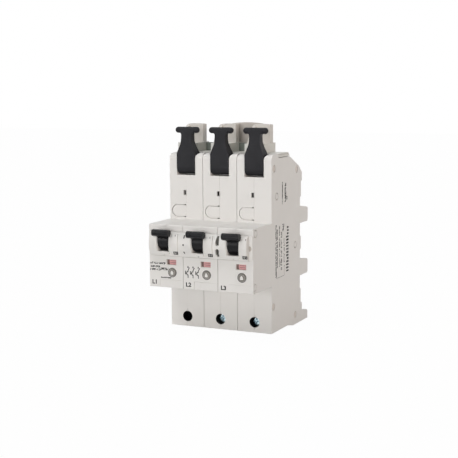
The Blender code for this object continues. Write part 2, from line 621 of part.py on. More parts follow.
def make_slider(pole, material, parent):
    """Hood that stands in the collar, with the stem that carries the busbar hook."""
    clear = COLLAR_WALL + GAP
    left, right = -SIDE + clear, COLLAR_RIGHT - clear
    front, rear = GUIDE_FRONT + clear, GUIDE_REAR - GAP - clear
    base = COLLAR_HEIGHT - SLIDER_HOLD
    rise = SLIDER_TOP - COLLAR_HEIGHT
    crest = rear - SLIDER_CREST
    ledge = COLLAR_HEIGHT - GAP
    side = [(front, base), (front, ledge), (crest, ledge), (crest, SLIDER_TOP - 0.5 * MM), (crest + MM, SLIDER_TOP)]
    side += [(rear, SLIDER_TOP - 0.3 * MM), (rear, base)]
    origin = (0.0, -STEM_FRONT, COLLAR_HEIGHT)
    slider = piece(f"clamp_slider_{pole + 1}", prism(side, left, right), material, parent, origin)
    gusset = [(crest + MM, ledge - MM), (crest + MM, SLIDER_TOP - MM), (crest, SLIDER_TOP - MM)]
    for share, height in ((0.13, 0.9), (0.38, 0.68), (0.64, 0.42), (0.83, 0.2), (0.96, 0.0)):
        gusset.append((crest + (front - crest) * share, COLLAR_HEIGHT + rise * height))
    gusset.append((crest + (front - crest) * 0.96, ledge - MM))
    combine(slider, prism(gusset, left, left + GUSSET_WIDTH), "UNION", "gusset")
    stem_x = (-STEM_LEFT, -STEM_LEFT + STEM_WIDTH)
    stem_y = (-STEM_FRONT, -STEM_FRONT + STEM_DEPTH)
    stem = box(stem_x, stem_y, (HOOK_ARM + HOOK_THICKNESS + GAP, base + MM))
    combine(slider, stem, "UNION", "stem")
    if pole == 1:
        add_barrier(slider, right, rear, base + MM)


def add_barrier(slider, right, rear, low):
    """Arched wall behind this hood and the next one, carried over the collar's rim."""
    start, end = BARRIER_SPAN
    front = GUIDE_REAR + GAP
    outline = [(start, low)]
    for share in (-1.0, -0.6, -0.2, 0.2, 0.6, 1.0):
        x = (start + end + share * (end - start)) / 2
        outline.append((x, BARRIER_TOP - BARRIER_ARCH * share * share))
    outline.append((end, low))
    combine(slider, prism(outline, front, front + BARRIER_THICKNESS, "Y"), "UNION", "barrier")
    bridge_z = (COLLAR_HEIGHT + CLAMP_TRAVEL + GAP, SLIDER_TOP - MM)
    bridge = box((start, right - MM), (rear - MM, front + BARRIER_THICKNESS / 2), bridge_z)
    combine(slider, bridge, "UNION", "bridge")


def hook_span(pole):
    """Lowest and highest point of the hook's tongue at rest, above the pole's own busbar."""
    low = bar_height(pole) + BAR_HEIGHT / 2 + GAP + CLAMP_TRAVEL
    return low, low + HOOK_THICKNESS


def make_hook(pole, material, parent):
    """Bent steel strip from under the slider's stem to the busbar's top edge."""
    low, high = hook_span(pole)
    arm_low, arm_high = HOOK_ARM, HOOK_ARM + HOOK_THICKNESS
    strip_rear = -HOOK_SETBACK
    strip_front = strip_rear - HOOK_STRIP
    lip = HOOK_REACH - HOOK_STRIP
    outline = [
        (-STEM_FRONT, arm_high), (strip_rear, arm_high), (strip_rear, high), (HOOK_REACH, high),
        (HOOK_REACH, low - HOOK_LIP), (lip, low - HOOK_LIP), (lip, low),
        (strip_front, low), (strip_front, arm_low), (-STEM_FRONT, arm_low),
    ]
    bm = prism(outline, HOOK_LEFT, HOOK_LEFT + HOOK_WIDTH)
    return piece(f"busbar_hook_{pole + 1}", bm, material, parent, (0.0, -STEM_FRONT, COLLAR_HEIGHT))


def make_toggle(pole, material, parent):
    """Switch toggle: a drum with a handle plate that ends in a cross bar."""
    y, z = TOGGLE_AXIS
    half = DRUM_WIDTH / 2
    toggle = piece(f"toggle_{pole + 1}", rod((y, z), DRUM_RADIUS, -half, half, steps=40), material, parent,
                   (0.0, y, z), True)
    along = Vector((-math.cos(HANDLE_ANGLE), math.sin(HANDLE_ANGLE)))
    across = Vector((along.y, -along.x)) * (HANDLE_THICKNESS / 2)
    tip = Vector((y, z)) + along * HANDLE_REACH
    for label, start, wide in (
        ("handle", DRUM_RADIUS * 0.6, DRUM_WIDTH - GAP), ("handle_end", HANDLE_WIDE_START, HANDLE_WIDTH),
    ):
        root = Vector((y, z)) + along * start
        plate = [tuple(root - across), tuple(tip - across), tuple(tip + across), tuple(root + across)]
        combine(toggle, prism(plate, -wide / 2, wide / 2), "UNION", label)
    reach, radius = HANDLE_BAR_WIDTH / 2, HANDLE_BAR_RADIUS
    ends = [(0.0, -reach), (radius * 0.75, -reach), (radius, -reach + 0.35 * radius)]
    ends += [(size, -height) for size, height in reversed(ends)]
    combine(toggle, turned(ends, (0.0, *tip), "X", 20), "UNION", "bar")
    combine(toggle, rod((y, z), HOLE_RADIUS, -2 * half, 2 * half, steps=16), "DIFFERENCE", "axle_hole")
    return toggle


def make_rivet(name, place, material, parent):
    """Headed pin through all the poles."""
    end = POLE_COUNT * HALF_POLE - GAP / 2 - RIVET_RECESS_DEPTH + GAP
    head = end + RIVET_HEAD_DEPTH - GAP
    profile = [(0.0, -head), (RIVET_HEAD_RADIUS, -head), (RIVET_HEAD_RADIUS, -end), (AXLE_RADIUS, -end)]
    profile += [(size, -height) for size, height in reversed(profile)]
    return piece(name, turned(profile, (0.0, *place), "X", 16), material, parent, (0.0, *place), True)


def make_axle(name, place, material, parent):
    """Plain pin through all the poles, ending inside the outer walls."""
    end = POLE_COUNT * HALF_POLE - GAP / 2 - WALL - GAP
    return piece(name, rod(place, AXLE_RADIUS, -end, end, steps=16), material, parent, (0.0, *place), True)


def make_terminal(pole, screw_material, cage_material, parent):
    """Terminal screw, and the cage that it draws towards the front onto the wire."""
    head_front = -BODY_DEPTH + SCREW_HEAD_SETBACK
    head_rear = head_front + SCREW_HEAD_HEIGHT
    tip = head_rear + SCREW_LENGTH
    chamfer = 0.4 * MM
    profile = [
        (0.0, head_front), (SCREW_HEAD_RADIUS - chamfer, head_front), (SCREW_HEAD_RADIUS, head_front + chamfer),
        (SCREW_HEAD_RADIUS, head_rear), (SCREW_RADIUS, head_rear), (SCREW_RADIUS, tip), (0.0, tip),
    ]
    centre = (0.0, 0.0, SCREW_HEIGHT)
    screw = piece(f"terminal_screw_{pole + 1}", turned(profile, centre, "Y"), screw_material, parent, centre, True)
    arm, half = SCREW_HEAD_RADIUS * 0.66, SCREW_SLOT / 2
    cross = [
        (half, half), (arm, half), (arm, -half), (half, -half), (half, -arm), (-half, -arm),
        (-half, -half), (-arm, -half), (-arm, half), (-half, half), (-half, arm), (half, arm),
    ]
    raised = [(x, z + SCREW_HEIGHT) for x, z in cross]
    combine(screw, prism(raised, head_front - MM, head_front + 1.3 * MM, "Y"), "DIFFERENCE", "cross_slot")
    half_width, front = CAGE_WIDTH / 2, -CAGE_FRONT
    cage_z = (CAGE_BASE, CAGE_BASE + CAGE_HEIGHT)
    bm = box((-half_width, half_width), (front, front + CAGE_DEPTH), cage_z)
    cage = piece(f"terminal_cage_{pole + 1}", bm, cage_material, parent, (0.0, front, SCREW_HEIGHT))
    inner_x = (-half_width + WALL, half_width - WALL)
    inner_y = (front + WALL, front + CAGE_DEPTH - WALL)
    combine(cage, box(inner_x, inner_y, (cage_z[0] - MM, cage_z[1] + MM)), "DIFFERENCE", "wire_space")
    tapping = rod((0.0, SCREW_HEIGHT), SCREW_RADIUS + GAP, front - MM, front + 2 * WALL, "Y")
    combine(cage, tapping, "DIFFERENCE", "tapping")


def make_load_strip(pole, material, parent):
    """Copper from the terminal up to the bimetal blade, which is welded to it."""
    thick = STRIP_THICKNESS
    front = -STRIP_FRONT
    low = CAGE_BASE + GAP
    blade_rear = -BIMETAL_FRONT + BIMETAL_THICKNESS
    outline = [
        (front, low), (front, BIMETAL_BASE - thick), (-BIMETAL_FRONT, BIMETAL_BASE - thick),
        (-BIMETAL_FRONT, BIMETAL_BASE + BIMETAL_HEIGHT), (blade_rear, BIMETAL_BASE + BIMETAL_HEIGHT),
        (blade_rear, BIMETAL_BASE), (front + thick, BIMETAL_BASE), (front + thick, low),
    ]
    half = BIMETAL_WIDTH / 2
    return piece(f"bimetal_strip_{pole + 1}", prism(outline, -half, half), material, parent)


def make_busbar_contact(pole, material, parent):
    """Contact face on the busbar, and the strip that feeds the trip coil."""
    level = bar_height(pole)
    half, thick = PAD_HEIGHT / 2, STRIP_THICKNESS / 2
    feed_front = -FEED_SETBACK - STRIP_THICKNESS
    outline = [
        (PAD_RISE, level - half), (PAD_RISE, level + half), (GAP, level + half), (GAP, level + thick),
        (-FEED_SETBACK, level + thick), (-FEED_SETBACK, COIL_TOP + GAP + STRIP_THICKNESS),
        (-COIL_SETBACK + COIL_BORE + 2 * GAP, COIL_TOP + GAP + STRIP_THICKNESS),
        (-COIL_SETBACK + COIL_BORE + 2 * GAP, COIL_TOP + GAP), (feed_front, COIL_TOP + GAP),
        (feed_front, level - thick), (GAP, level - thick), (GAP, level - half),
    ]
    bm = prism(outline, CONTACT_LEFT, CONTACT_LEFT + CONTACT_WIDTH)
    return piece(f"busbar_contact_{pole + 1}", bm, material, parent)


def make_coil(pole, coil_material, plunger_material, parent):
    """Magnetic trip coil, drawn as its turns' outer shape, and the plunger in its bore."""
    pitch = COIL_LENGTH / COIL_TURNS
    dip = 0.5 * MM
    profile = [(COIL_BORE, COIL_BASE)]
    for turn in range(COIL_TURNS):
        low = COIL_BASE + turn * pitch
        profile += [(COIL_RADIUS - dip, low), (COIL_RADIUS, low + pitch / 3), (COIL_RADIUS, low + 2 * pitch / 3)]
    profile += [(COIL_RADIUS - dip, COIL_TOP), (COIL_BORE, COIL_TOP), (COIL_BORE, COIL_BASE)]
    centre = (COIL_X, -COIL_SETBACK, 0.0)
    piece(f"trip_coil_{pole + 1}", turned(profile, centre, "Z", 16), coil_material, parent, smooth=True)
    radius = COIL_BORE - GAP
    head = COIL_TOP + PLUNGER_RISE
    foot = head - PLUNGER_LENGTH
    shape = [(0.0, foot), (radius, foot), (radius, head), (0.0, head)]
    origin = (COIL_X, -COIL_SETBACK, foot)
    piece(f"trip_plunger_{pole + 1}", turned(shape, centre, "Z", 16), plunger_material, parent, origin, True)


def make_fixed_contact(pole, material, parent):
    """Strip under the coil, with the contact button that the arm meets."""
    top = FIXED_CONTACT_TOP
    low = top - STRIP_THICKNESS
    front, rear = -FIXED_CONTACT_FRONT, -COIL_SETBACK + COIL_RADIUS
    tip = 4.0 * MM
    outline = [
        (front, top), (rear, top), (rear, low), (front + tip, low),
        (front + tip, low - CONTACT_TIP), (front, low - CONTACT_TIP),
    ]
    bm = prism(outline, CONTACT_LEFT, CONTACT_LEFT + CONTACT_WIDTH)
    return piece(f"fixed_contact_{pole + 1}", bm, material, parent)


def make_arm(pole, material, parent):
    """Contact arm on the arm axle, with its tip just under the fixed contact."""
    y, z = ARM_PIVOT
    centre_x = CONTACT_LEFT + CONTACT_WIDTH / 2
    span = (centre_x - ARM_WIDTH / 2, centre_x + ARM_WIDTH / 2)
    top = FIXED_CONTACT_TOP - STRIP_THICKNESS - CONTACT_TIP - GAP
    boss = ARM_BOSS_RADIUS
    arm = piece(f"contact_arm_{pole + 1}", rod((y, z), boss, *span, steps=20), material, parent, (0.0, y, z), True)
    outline = [
        (y - boss * 0.7, z), (y + boss * 0.7, z - boss * 0.3), (ARM_TIP + 2 * MM, top - ARM_THICKNESS),
        (ARM_TIP + 2 * MM, top), (ARM_TIP - 2 * MM, top), (ARM_TIP - 2 * MM, top - ARM_THICKNESS),
    ]
    combine(arm, prism(outline, *span), "UNION", "blade")
    combine(arm, rod((y, z), HOLE_RADIUS, -HALF_POLE, HALF_POLE, steps=16), "DIFFERENCE", "axle_hole")
    return arm


def make_chute(pole, material, parent):
    """Arc chute: a stack of splitter plates on one back plate."""
    rear = -CHUTE_REAR
    spine = rear - CHUTE_PLATE
    front = rear - CHUTE_DEPTH
    outline = [(rear, CHUTE_BASE)]
    outline.append((rear, CHUTE_BASE + (CHUTE_PLATES - 1) * CHUTE_PITCH + CHUTE_PLATE))
    for plate in reversed(range(CHUTE_PLATES)):
        low = CHUTE_BASE + plate * CHUTE_PITCH
        outline += [(front, low + CHUTE_PLATE), (front, low)]
        if plate > 0:
            outline += [(spine, low), (spine, low - CHUTE_PITCH + CHUTE_PLATE)]
    right = INNER_SIDE - GAP
    return piece(f"arc_chute_{pole + 1}", prism(outline, right - CHUTE_WIDTH, right), material, parent)


def make_flag(pole, material, parent):
    """Red position flag behind the window."""
    rear = -NOSE_DEPTH + WALL + GAP
    x = (WINDOW_LEFT - FLAG_MARGIN, WINDOW_LEFT + WINDOW_WIDTH + FLAG_MARGIN)
    z = (WINDOW_BASE - FLAG_MARGIN, WINDOW_BASE + WINDOW_HEIGHT + FLAG_MARGIN)
    bm = box(x, (rear, rear + FLAG_THICKNESS), z)
    return piece(f"indicator_flag_{pole + 1}", bm, material, parent, (x[0], rear, z[0]))


def make_button(pole, material, parent):
    """Push button with a flange behind the front wall."""
    face = -NOSE_DEPTH - BUTTON_RISE
    inside = -NOSE_DEPTH + WALL + GAP
    rear = inside + FLAG_THICKNESS
    wide = BUTTON_RADIUS + BUTTON_FLANGE
    profile = [(0.0, face), (BUTTON_RADIUS, face), (BUTTON_RADIUS, inside), (wide, inside), (wide, rear), (0.0, rear)]
    centre = (BUTTON_PLACE[0], 0.0, BUTTON_PLACE[1])
    origin = (BUTTON_PLACE[0], face, BUTTON_PLACE[1])
    return piece(f"trip_button_{pole + 1}", turned(profile, centre, "Y", 20), material, parent, origin, True)


def build():
    clear_scene()
    case = make_material("case_plastic", (0.78, 0.76, 0.73), 0.42)
    guide_plastic = make_material("guide_plastic", (0.74, 0.73, 0.70), 0.45)
    hood = make_material("hood_plastic", (0.76, 0.75, 0.72), 0.45)
    black = make_material("black_plastic", (0.035, 0.035, 0.038), 0.5)
    toggle_black = make_material("toggle_plastic", (0.03, 0.03, 0.033), 0.4)
    red = make_material("flag_red", (0.6, 0.12, 0.11), 0.45)
    button = make_material("button_plastic", (0.8, 0.8, 0.78), 0.4)
    steel = make_material("zinc_steel", (0.62, 0.63, 0.65), 0.35, 1.0)
    plunger_steel = make_material("plunger_steel", (0.55, 0.55, 0.56), 0.3, 1.0)
    dark_steel = make_material("chute_steel", (0.35, 0.34, 0.33), 0.5, 1.0)
    copper = make_material("copper", (0.72, 0.40, 0.28), 0.35, 1.0)
    winding = make_material("winding", (0.66, 0.32, 0.18), 0.4, 1.0)
    brass = make_material("plated_brass", (0.75, 0.72, 0.62), 0.35, 1.0)

    frame = empty("frame", (0.0, FRAME_Y, FRAME_Z))
    make_rivet("lever_axle", LEVER_PIVOT, steel, frame)
    make_axle("toggle_axle", TOGGLE_AXIS, steel, frame)
    make_axle("arm_axle", ARM_PIVOT, steel, frame)
    for number, place in enumerate(RIVET_PLACES, 1):
        make_rivet(f"case_rivet_{number}", place, steel, frame)
    for pole in range(POLE_COUNT):
        centre = (pole - (POLE_COUNT - 1) / 2) * POLE_WIDTH
        parent = empty(f"pole_{pole + 1}", (centre, 0.0, 0.0), frame)
        make_shell(-1, pole, case, parent)
        make_shell(1, pole, case, parent)
        make_lever(pole, black, parent)
        make_guide(pole, guide_plastic, parent)
        make_slider(pole, hood, parent)
        make_hook(pole, steel, parent)
        make_toggle(pole, toggle_black, parent)
        make_flag(pole, red, parent)
        make_button(pole, button, parent)
        make_terminal(pole, steel, brass, parent)
        make_load_strip(pole, copper, parent)
        make_busbar_contact(pole, copper, parent)
        make_coil(pole, winding, plunger_steel, parent)
        make_fixed_contact(pole, copper, parent)
        make_arm(pole, copper, parent)
        make_chute(pole, dark_steel, parent)


build()
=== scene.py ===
import json
import math

import bmesh
import bpy
from mathutils import Matrix, Vector


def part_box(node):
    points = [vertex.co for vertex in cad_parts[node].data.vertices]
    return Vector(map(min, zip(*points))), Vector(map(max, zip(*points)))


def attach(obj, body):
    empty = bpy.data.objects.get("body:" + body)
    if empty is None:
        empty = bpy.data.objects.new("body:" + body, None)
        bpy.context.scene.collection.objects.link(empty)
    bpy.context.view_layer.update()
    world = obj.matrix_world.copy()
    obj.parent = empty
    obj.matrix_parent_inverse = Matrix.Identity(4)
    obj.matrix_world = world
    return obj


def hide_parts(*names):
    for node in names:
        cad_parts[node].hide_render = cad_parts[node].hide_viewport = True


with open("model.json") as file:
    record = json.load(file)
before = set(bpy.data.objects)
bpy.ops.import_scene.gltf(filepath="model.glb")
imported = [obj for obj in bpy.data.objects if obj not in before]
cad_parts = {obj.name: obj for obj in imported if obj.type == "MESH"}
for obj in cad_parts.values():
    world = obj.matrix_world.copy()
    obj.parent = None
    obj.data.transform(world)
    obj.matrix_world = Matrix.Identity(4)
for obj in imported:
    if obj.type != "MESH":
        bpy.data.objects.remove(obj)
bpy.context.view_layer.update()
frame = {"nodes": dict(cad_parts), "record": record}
cadNodes = frame["nodes"]
bodyNodes = frame["record"]["behaviour"]["bodies"]
bodyOf = {node: body for body, group in bodyNodes.items() for node in group}
mm, micrometre = 0.001, 0.000001
caseReach = {"rear": 16.3, "below": 2.2}  # how far the case passes its rear wall and its underside
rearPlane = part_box("case_right_3")[1].y - caseReach["rear"] * mm
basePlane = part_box("case_right_3")[0].z + caseReach["below"] * mm
poleCentres = {1: -27.0, 2: 0.0, 3: 27.0}


def spot(x, y, z):  # from millimetres on the breaker to metres in the scene
    return Vector((x * mm, y * mm + rearPlane, z * mm + basePlane))


def ink(red, green, blue):  # from screen values to the linear ones that shaders take
    values = [part / 255 for part in (red, green, blue)]
    return tuple(part / 12.92 if part <= 0.04045 else ((part + 0.055) / 1.055) ** 2.4 for part in values)


def addNode(tree, kind, settings=None, links=None):  # by input name or number, or by the node's own setting
    node = tree.nodes.new(kind)
    for key, value in (settings or {}).items():
        if isinstance(key, int) or key in node.inputs:
            node.inputs[key].default_value = value
        else:
            setattr(node, key, value)
    for key, source in (links or {}).items():
        tree.links.new(source, node.inputs[key])
    return node


def addMath(tree, operation, *terms):  # terms are sockets or numbers
    numbers = {index: term for index, term in enumerate(terms) if isinstance(term, (int, float))}
    sockets = {index: term for index, term in enumerate(terms) if index not in numbers}
    return addNode(tree, "ShaderNodeMath", {"operation": operation, **numbers}, sockets).outputs[0]


# Camera at the photograph's angle
cameraSet = {
    "place": (331.06, -748.51, 178.53),
    "azimuth": 25.04,
    "elevation": 7.76,
    "roll": -0.37,
    "focalPixels": 1073.62,
    "imagePixels": 458,
    "sensor": 36.0,
    "clip": (0.01, 50.0),
}


def placeCamera(values):
    turn, lift, roll = (math.radians(values[key]) for key in ("azimuth", "elevation", "roll"))
    ahead = Vector((-math.sin(turn) * math.cos(lift), math.cos(turn) * math.cos(lift), -math.sin(lift)))
    level = Vector((math.cos(turn), math.sin(turn), 0.0))
    upward = level.cross(ahead)
    right = math.cos(roll) * level + math.sin(roll) * upward
    upward = -math.sin(roll) * level + math.cos(roll) * upward
    data = bpy.data.cameras.new("camera")
    data.sensor_width = values["sensor"]
    data.lens = values["focalPixels"] / values["imagePixels"] * values["sensor"]
    data.clip_start, data.clip_end = values["clip"]
    camera = bpy.data.objects.new("camera", data)
    camera.matrix_world = Matrix.Translation(spot(*values["place"])) @ Matrix(
        (right, upward, -ahead)
    ).transposed().to_4x4()
    bpy.context.collection.objects.link(camera)
    bpy.context.scene.camera = camera


placeCamera(cameraSet)
bpy.context.scene.view_settings.view_transform = "Standard"

# Light and floor
lightSet = {
    "worldColour": (1.0, 0.995, 0.985),
    "worldStrength": 0.21,
    "lamps": {
        "keyLamp": {"strength": 1.34, "from": (-0.18, -0.32, 0.93), "angle": 30, "colour": (255, 255, 255)},
        "lowLamp": {"strength": 2.46, "from": (-0.10, -0.95, -0.10), "angle": 45, "colour": (255, 255, 255)},
        "fillLamp": {"strength": 1.15, "from": (0.93, -0.36, 0.08), "angle": 25, "colour": (255, 240, 229)},
    },
}
floorSet = {"colour": (240, 240, 239), "size": 6.0, "glow": 0.98}


def addSun(name, values):
    data = bpy.data.lights.new(name, "SUN")
    data.energy = values["strength"]
    data.color = ink(*values["colour"])
    data.angle = math.radians(values["angle"])
    lamp = bpy.data.objects.new(name, data)
    lamp.rotation_mode = "QUATERNION"
    lamp.rotation_quaternion = Vector(values["from"]).to_track_quat("Z", "Y")
    bpy.context.collection.objects.link(lamp)


def seenDirectly(tree):  # one where the camera, a reflection or a refraction looks, nought elsewhere
    rays = addNode(tree, "ShaderNodeLightPath").outputs
    seen = rays["Is Camera Ray"]
    for ray in ("Is Glossy Ray", "Is Transmission Ray"):
        seen = addMath(tree, "MAXIMUM", seen, rays[ray])
    return seen


def emptyTree(holder):  # the node tree of a world or a material, with nothing in it
    holder.use_nodes = True
    holder.node_tree.nodes.clear()
    return holder.node_tree


def lightScene(values):  # lamps and a soft world, which is plain white where it is looked at
    world = bpy.data.worlds.new("studio")
    bpy.context.scene.world = world
    tree = emptyTree(world)
    soft, white = (
        addNode(tree, "ShaderNodeBackground", {"Color": (*colour, 1.0), "Strength": strength})
        for colour, strength in ((values["worldColour"], values["worldStrength"]), ((1.0, 1.0, 1.0), 1.0))
    )
    mix = addNode(tree, "ShaderNodeMixShader", None, {
        0: seenDirectly(tree), 1: soft.outputs[0], 2: white.outputs[0],
    })
    addNode(tree, "ShaderNodeOutputWorld", None, {"Surface": mix.outputs[0]})
    for name, lamp in values["lamps"].items():
        addSun(name, lamp)


def layFloor(values):  # pale paper that takes the shadow and fades into the background
    half = values["size"] / 2
    mesh = bpy.data.meshes.new("floor")
    edge = [(-half, -half, 0.0), (half, -half, 0.0), (half, half, 0.0), (-half, half, 0.0)]
    mesh.from_pydata(edge, [], [(0, 1, 2, 3)])
    floor = bpy.data.objects.new("floor", mesh)
    bpy.context.collection.objects.link(floor)
    paper = bpy.data.materials.new("floorPaper")
    tree = emptyTree(paper)
    matt = addNode(tree, "ShaderNodeBsdfDiffuse", {"Color": (*ink(*values["colour"]), 1.0)})
    glow = addNode(tree, "ShaderNodeEmission")
    share = addMath(tree, "MULTIPLY", seenDirectly(tree), values["glow"])
    mix = addNode(tree, "ShaderNodeMixShader", None, {0: share, 1: matt.outputs[0], 2: glow.outputs[0]})
    addNode(tree, "ShaderNodeOutputMaterial", None, {"Surface": mix.outputs[0]})
    mesh.materials.append(paper)


lightScene(lightSet)
layFloor(floorSet)
print("camera, light and floor are ready")

# Finishes: a colour and the one it drifts to, roughness from and to, and grain's height in micrometres
finishes = {
    "casePlastic": ((223, 221, 218), (221, 219, 216), (0.37, 0.4), {"grain": 4}),
    "hoodPlastic": ((211, 207, 201), (208, 204, 198), (0.38, 0.42), {"grain": 4}),
    "coverPlastic": ((214, 213, 207), (211, 210, 204), (0.38, 0.42), {"grain": 4}),
    # painted shade: a darker beige for faces that stand in shadow
    "paintedShadeBeige": ((192, 185, 178), (185, 178, 171), (0.4, 0.45), {"grain": 4}),
    "leverPlastic": ((38, 38, 41), (45, 45, 48), (0.42, 0.52),
                     {"grain": 40, "grainScale": 1500, "specular": 0.12}),
    "togglePlastic": ((18, 18, 21), (22, 22, 25), (0.26, 0.34), {"grain": 10, "specular": 0.18}),
    "flagPlastic": ((228, 170, 171), (222, 162, 163), (0.35, 0.45), {"grain": 10}),
    "flagGreen": ((96, 150, 104), (88, 142, 97), (0.35, 0.45), {"grain": 10}),
    "flagPrint": ((134, 110, 104), (120, 98, 94), (0.4, 0.5), {}),
    "buttonGrey": ((164, 160, 153), (152, 148, 142), (0.36, 0.44), {"grain": 10}),
    "buttonRim": ((112, 108, 102), (100, 97, 92), (0.36, 0.44), {"grain": 10}),
    "pocketGrey": ((88, 87, 82), (74, 73, 69), (0.4, 0.5), {"grain": 20}),
    # painted shade: dark grey-green for the shaded gap beside the covers
    "canyonShadeGrey": ((122, 128, 122), (116, 122, 116), (0.4, 0.45), {"grain": 4}),
    # painted shade: black that stands for the shadow inside holes
    "paintedHoleShade": ((12, 12, 13), (16, 16, 17), (0.5, 0.6), {"specular": 0.1}),
    "printBlack": ((14, 14, 15), (20, 20, 21), (0.5, 0.6), {"specular": 0.2}),
    "printGrey": ((40, 39, 39), (54, 52, 51), (0.5, 0.6), {"specular": 0.2}),
    "sidePrint": ((24, 23, 23), (38, 36, 35), (0.5, 0.6), {"specular": 0.2}),
    "rivetMetal": ((212, 203, 196), (196, 188, 181), (0.42, 0.55), {"grain": 20, "metal": 0.35}),
    # zinc colour, whose bright and dark blue patches are painted glints
    "zincPaintedGlints": ((206, 224, 230), (46, 82, 98), (0.16, 0.34),
                  {"grain": 20, "metal": 1.0, "cloudScale": 520}),
    "platedSteel": ((196, 200, 200), (178, 183, 184), (0.32, 0.42), {"grain": 10, "metal": 1.0}),
    # painted shade: a black copy of the screw steel
    "paintedShadeSteel": ((14, 15, 16), (8, 9, 9), (0.5, 0.6), {"grain": 20, "metal": 1.0}),
    "darkSteel": ((120, 116, 112), (96, 92, 90), (0.4, 0.6), {"grain": 30, "metal": 1.0}),
    "tinnedBrass": ((214, 206, 182), (196, 186, 158), (0.28, 0.42), {"grain": 20, "metal": 1.0}),
    "copper": ((206, 142, 112), (184, 118, 88), (0.28, 0.45), {"grain": 20, "metal": 1.0}),
    "wireEnamel": ((170, 84, 44), (150, 68, 34), (0.2, 0.3), {"grain": 10, "metal": 0.6}),
}
noiseSet = {  # what the finishes share
    "cloud": {"scale": 60, "detail": 4},
    "grain": {"scale": 900, "detail": 3},
    "sheen": {"scale": 220, "detail": 5},
    "span": {"From Min": 0.35, "From Max": 0.65},  # the part of a noise that goes from one value to the other
    "grainStrength": 0.6,
    "metal": 0.0,
    "specular": 0.5,
}


def makeFinish(name, colour, second, roughness, values):
    material = bpy.data.materials.new(name)
    material.use_nodes = True
    tree = material.node_tree
    shader = tree.nodes["Principled BSDF"].inputs
    shader["Metallic"].default_value = values.get("metal", noiseSet["metal"])
    shader["Specular IOR Level"].default_value = values.get("specular", noiseSet["specular"])
    place = addNode(tree, "ShaderNodeTexCoord").outputs["Object"]
    noise = {}
    for part in ("cloud", "grain", "sheen"):
        scale, detail = values.get(part + "Scale", noiseSet[part]["scale"]), noiseSet[part]["detail"]
        texture = addNode(tree, "ShaderNodeTexNoise", {"Scale": scale, "Detail": detail}, {"Vector": place})
        noise[part] = texture.outputs["Fac"]
    share = addNode(tree, "ShaderNodeMapRange", noiseSet["span"], {"Value": noise["cloud"]})
    tint = addNode(tree, "ShaderNodeMix", {
        "data_type": "RGBA", "A": (*ink(*colour), 1.0), "B": (*ink(*second), 1.0),
    }, {"Factor": share.outputs["Result"]})
    tree.links.new(tint.outputs["Result"], shader["Base Color"])
    polish = addNode(tree, "ShaderNodeMapRange", {
        **noiseSet["span"], "To Min": roughness[0], "To Max": roughness[1],
    }, {"Value": noise["sheen"]})
    tree.links.new(polish.outputs["Result"], shader["Roughness"])
    if "grain" in values:
        bump = addNode(tree, "ShaderNodeBump", {
            "Strength": noiseSet["grainStrength"], "Distance": values["grain"] * micrometre,
        }, {"Height": noise["grain"]})
        tree.links.new(bump.outputs["Normal"], shader["Normal"])
    return material


finish = {name: makeFinish(name, *values) for name, values in finishes.items()}
print("finishes are ready")


# Shapes are drawn in millimetres on the breaker
def around(middle, half):
    return middle - half, middle + half


def shifted(path, centre):  # points (x, z) of one pole, moved to its place
    return [(x + centre, z) for x, z in path]


def rectangle(x, z):
    return [(x[0], z[0]), (x[1], z[0]), (x[1], z[1]), (x[0], z[1])]


def arcPoints(centre, radius, start, end, steps):
    turns = [math.radians(start + (end - start) * step / steps) for step in range(steps + 1)]
    return [(centre[0] + radius * math.cos(turn), centre[1] + radius * math.sin(turn)) for turn in turns]


def roundedBox(x, z, radius):
    outline = []
    for centre, start in (
        ((x[1] - radius, z[1] - radius), 0), ((x[0] + radius, z[1] - radius), 90),
        ((x[0] + radius, z[0] + radius), 180), ((x[1] - radius, z[0] + radius), 270),
    ):
        outline += arcPoints(centre, radius, start, start + 90, 4)
    return outline


axisOrder = {  # how two outline values and one along the axis become x, y and z
    "X": lambda a, b, c: (c, a, b),
    "Y": lambda a, b, c: (a, c, b),
}


def addPrism(bm, outline, low, high, axis="X"):  # (y, z) along X or (x, z) along Y
    order = axisOrder[axis]
    near = [bm.verts.new(spot(*order(a, b, low))) for a, b in outline]
    far = [bm.verts.new(spot(*order(a, b, high))) for a, b in outline]
    bm.faces.new(near)
    bm.faces.new(list(reversed(far)))
    for index in range(len(near)):
        after = (index + 1) % len(near)
        bm.faces.new((near[after], near[index], far[index], far[after]))
    return bm


def addBox(bm, x, y, z):
    return addPrism(bm, rectangle(y, z), x[0], x[1])


def addTurned(bm, profile, centre, axis="Y", steps=32):  # (radius, height along the axis) from end to end
    order = axisOrder[axis]
    rings = []
    for radius, height in profile:
        ring = []
        for step in range(steps if radius > 0 else 1):
            turn = 2 * math.pi * step / steps
            away = order(radius * math.cos(turn), radius * math.sin(turn), height)
            ring.append(bm.verts.new(spot(*(base + part for base, part in zip(centre, away)))))
        rings.append(ring)
    for lower, upper in zip(rings, rings[1:]):
        for step in range(steps):
            after = (step + 1) % steps
            corners = [lower[step % len(lower)], lower[after % len(lower)]]
            corners += [upper[after % len(upper)], upper[step % len(upper)]]
            unique = list(dict.fromkeys(corners))
            if len(unique) > 2:
                bm.faces.new(unique)
    return bm


def addStroke(bm, path, width, low, high):  # a flat line of one width through (x, z) points, along Y
    near, far = [], []
    for index, point in enumerate(path):
        before, after = Vector(path[max(index - 1, 0)]), Vector(path[min(index + 1, len(path) - 1)])
        along = (after - before).normalized()
        side = Vector((-along.y, along.x)) * width / 2
        near.append(tuple(Vector(point) + side))
        far.append(tuple(Vector(point) - side))
    return addPrism(bm, near + far[::-1], low, high, "Y")


def bake(item):  # modifiers become plain mesh
    graph = bpy.context.evaluated_depsgraph_get()
    mesh = bpy.data.meshes.new_from_object(item.evaluated_get(graph))
    item.modifiers.clear()
    item.data = mesh
    mesh.name = item.name


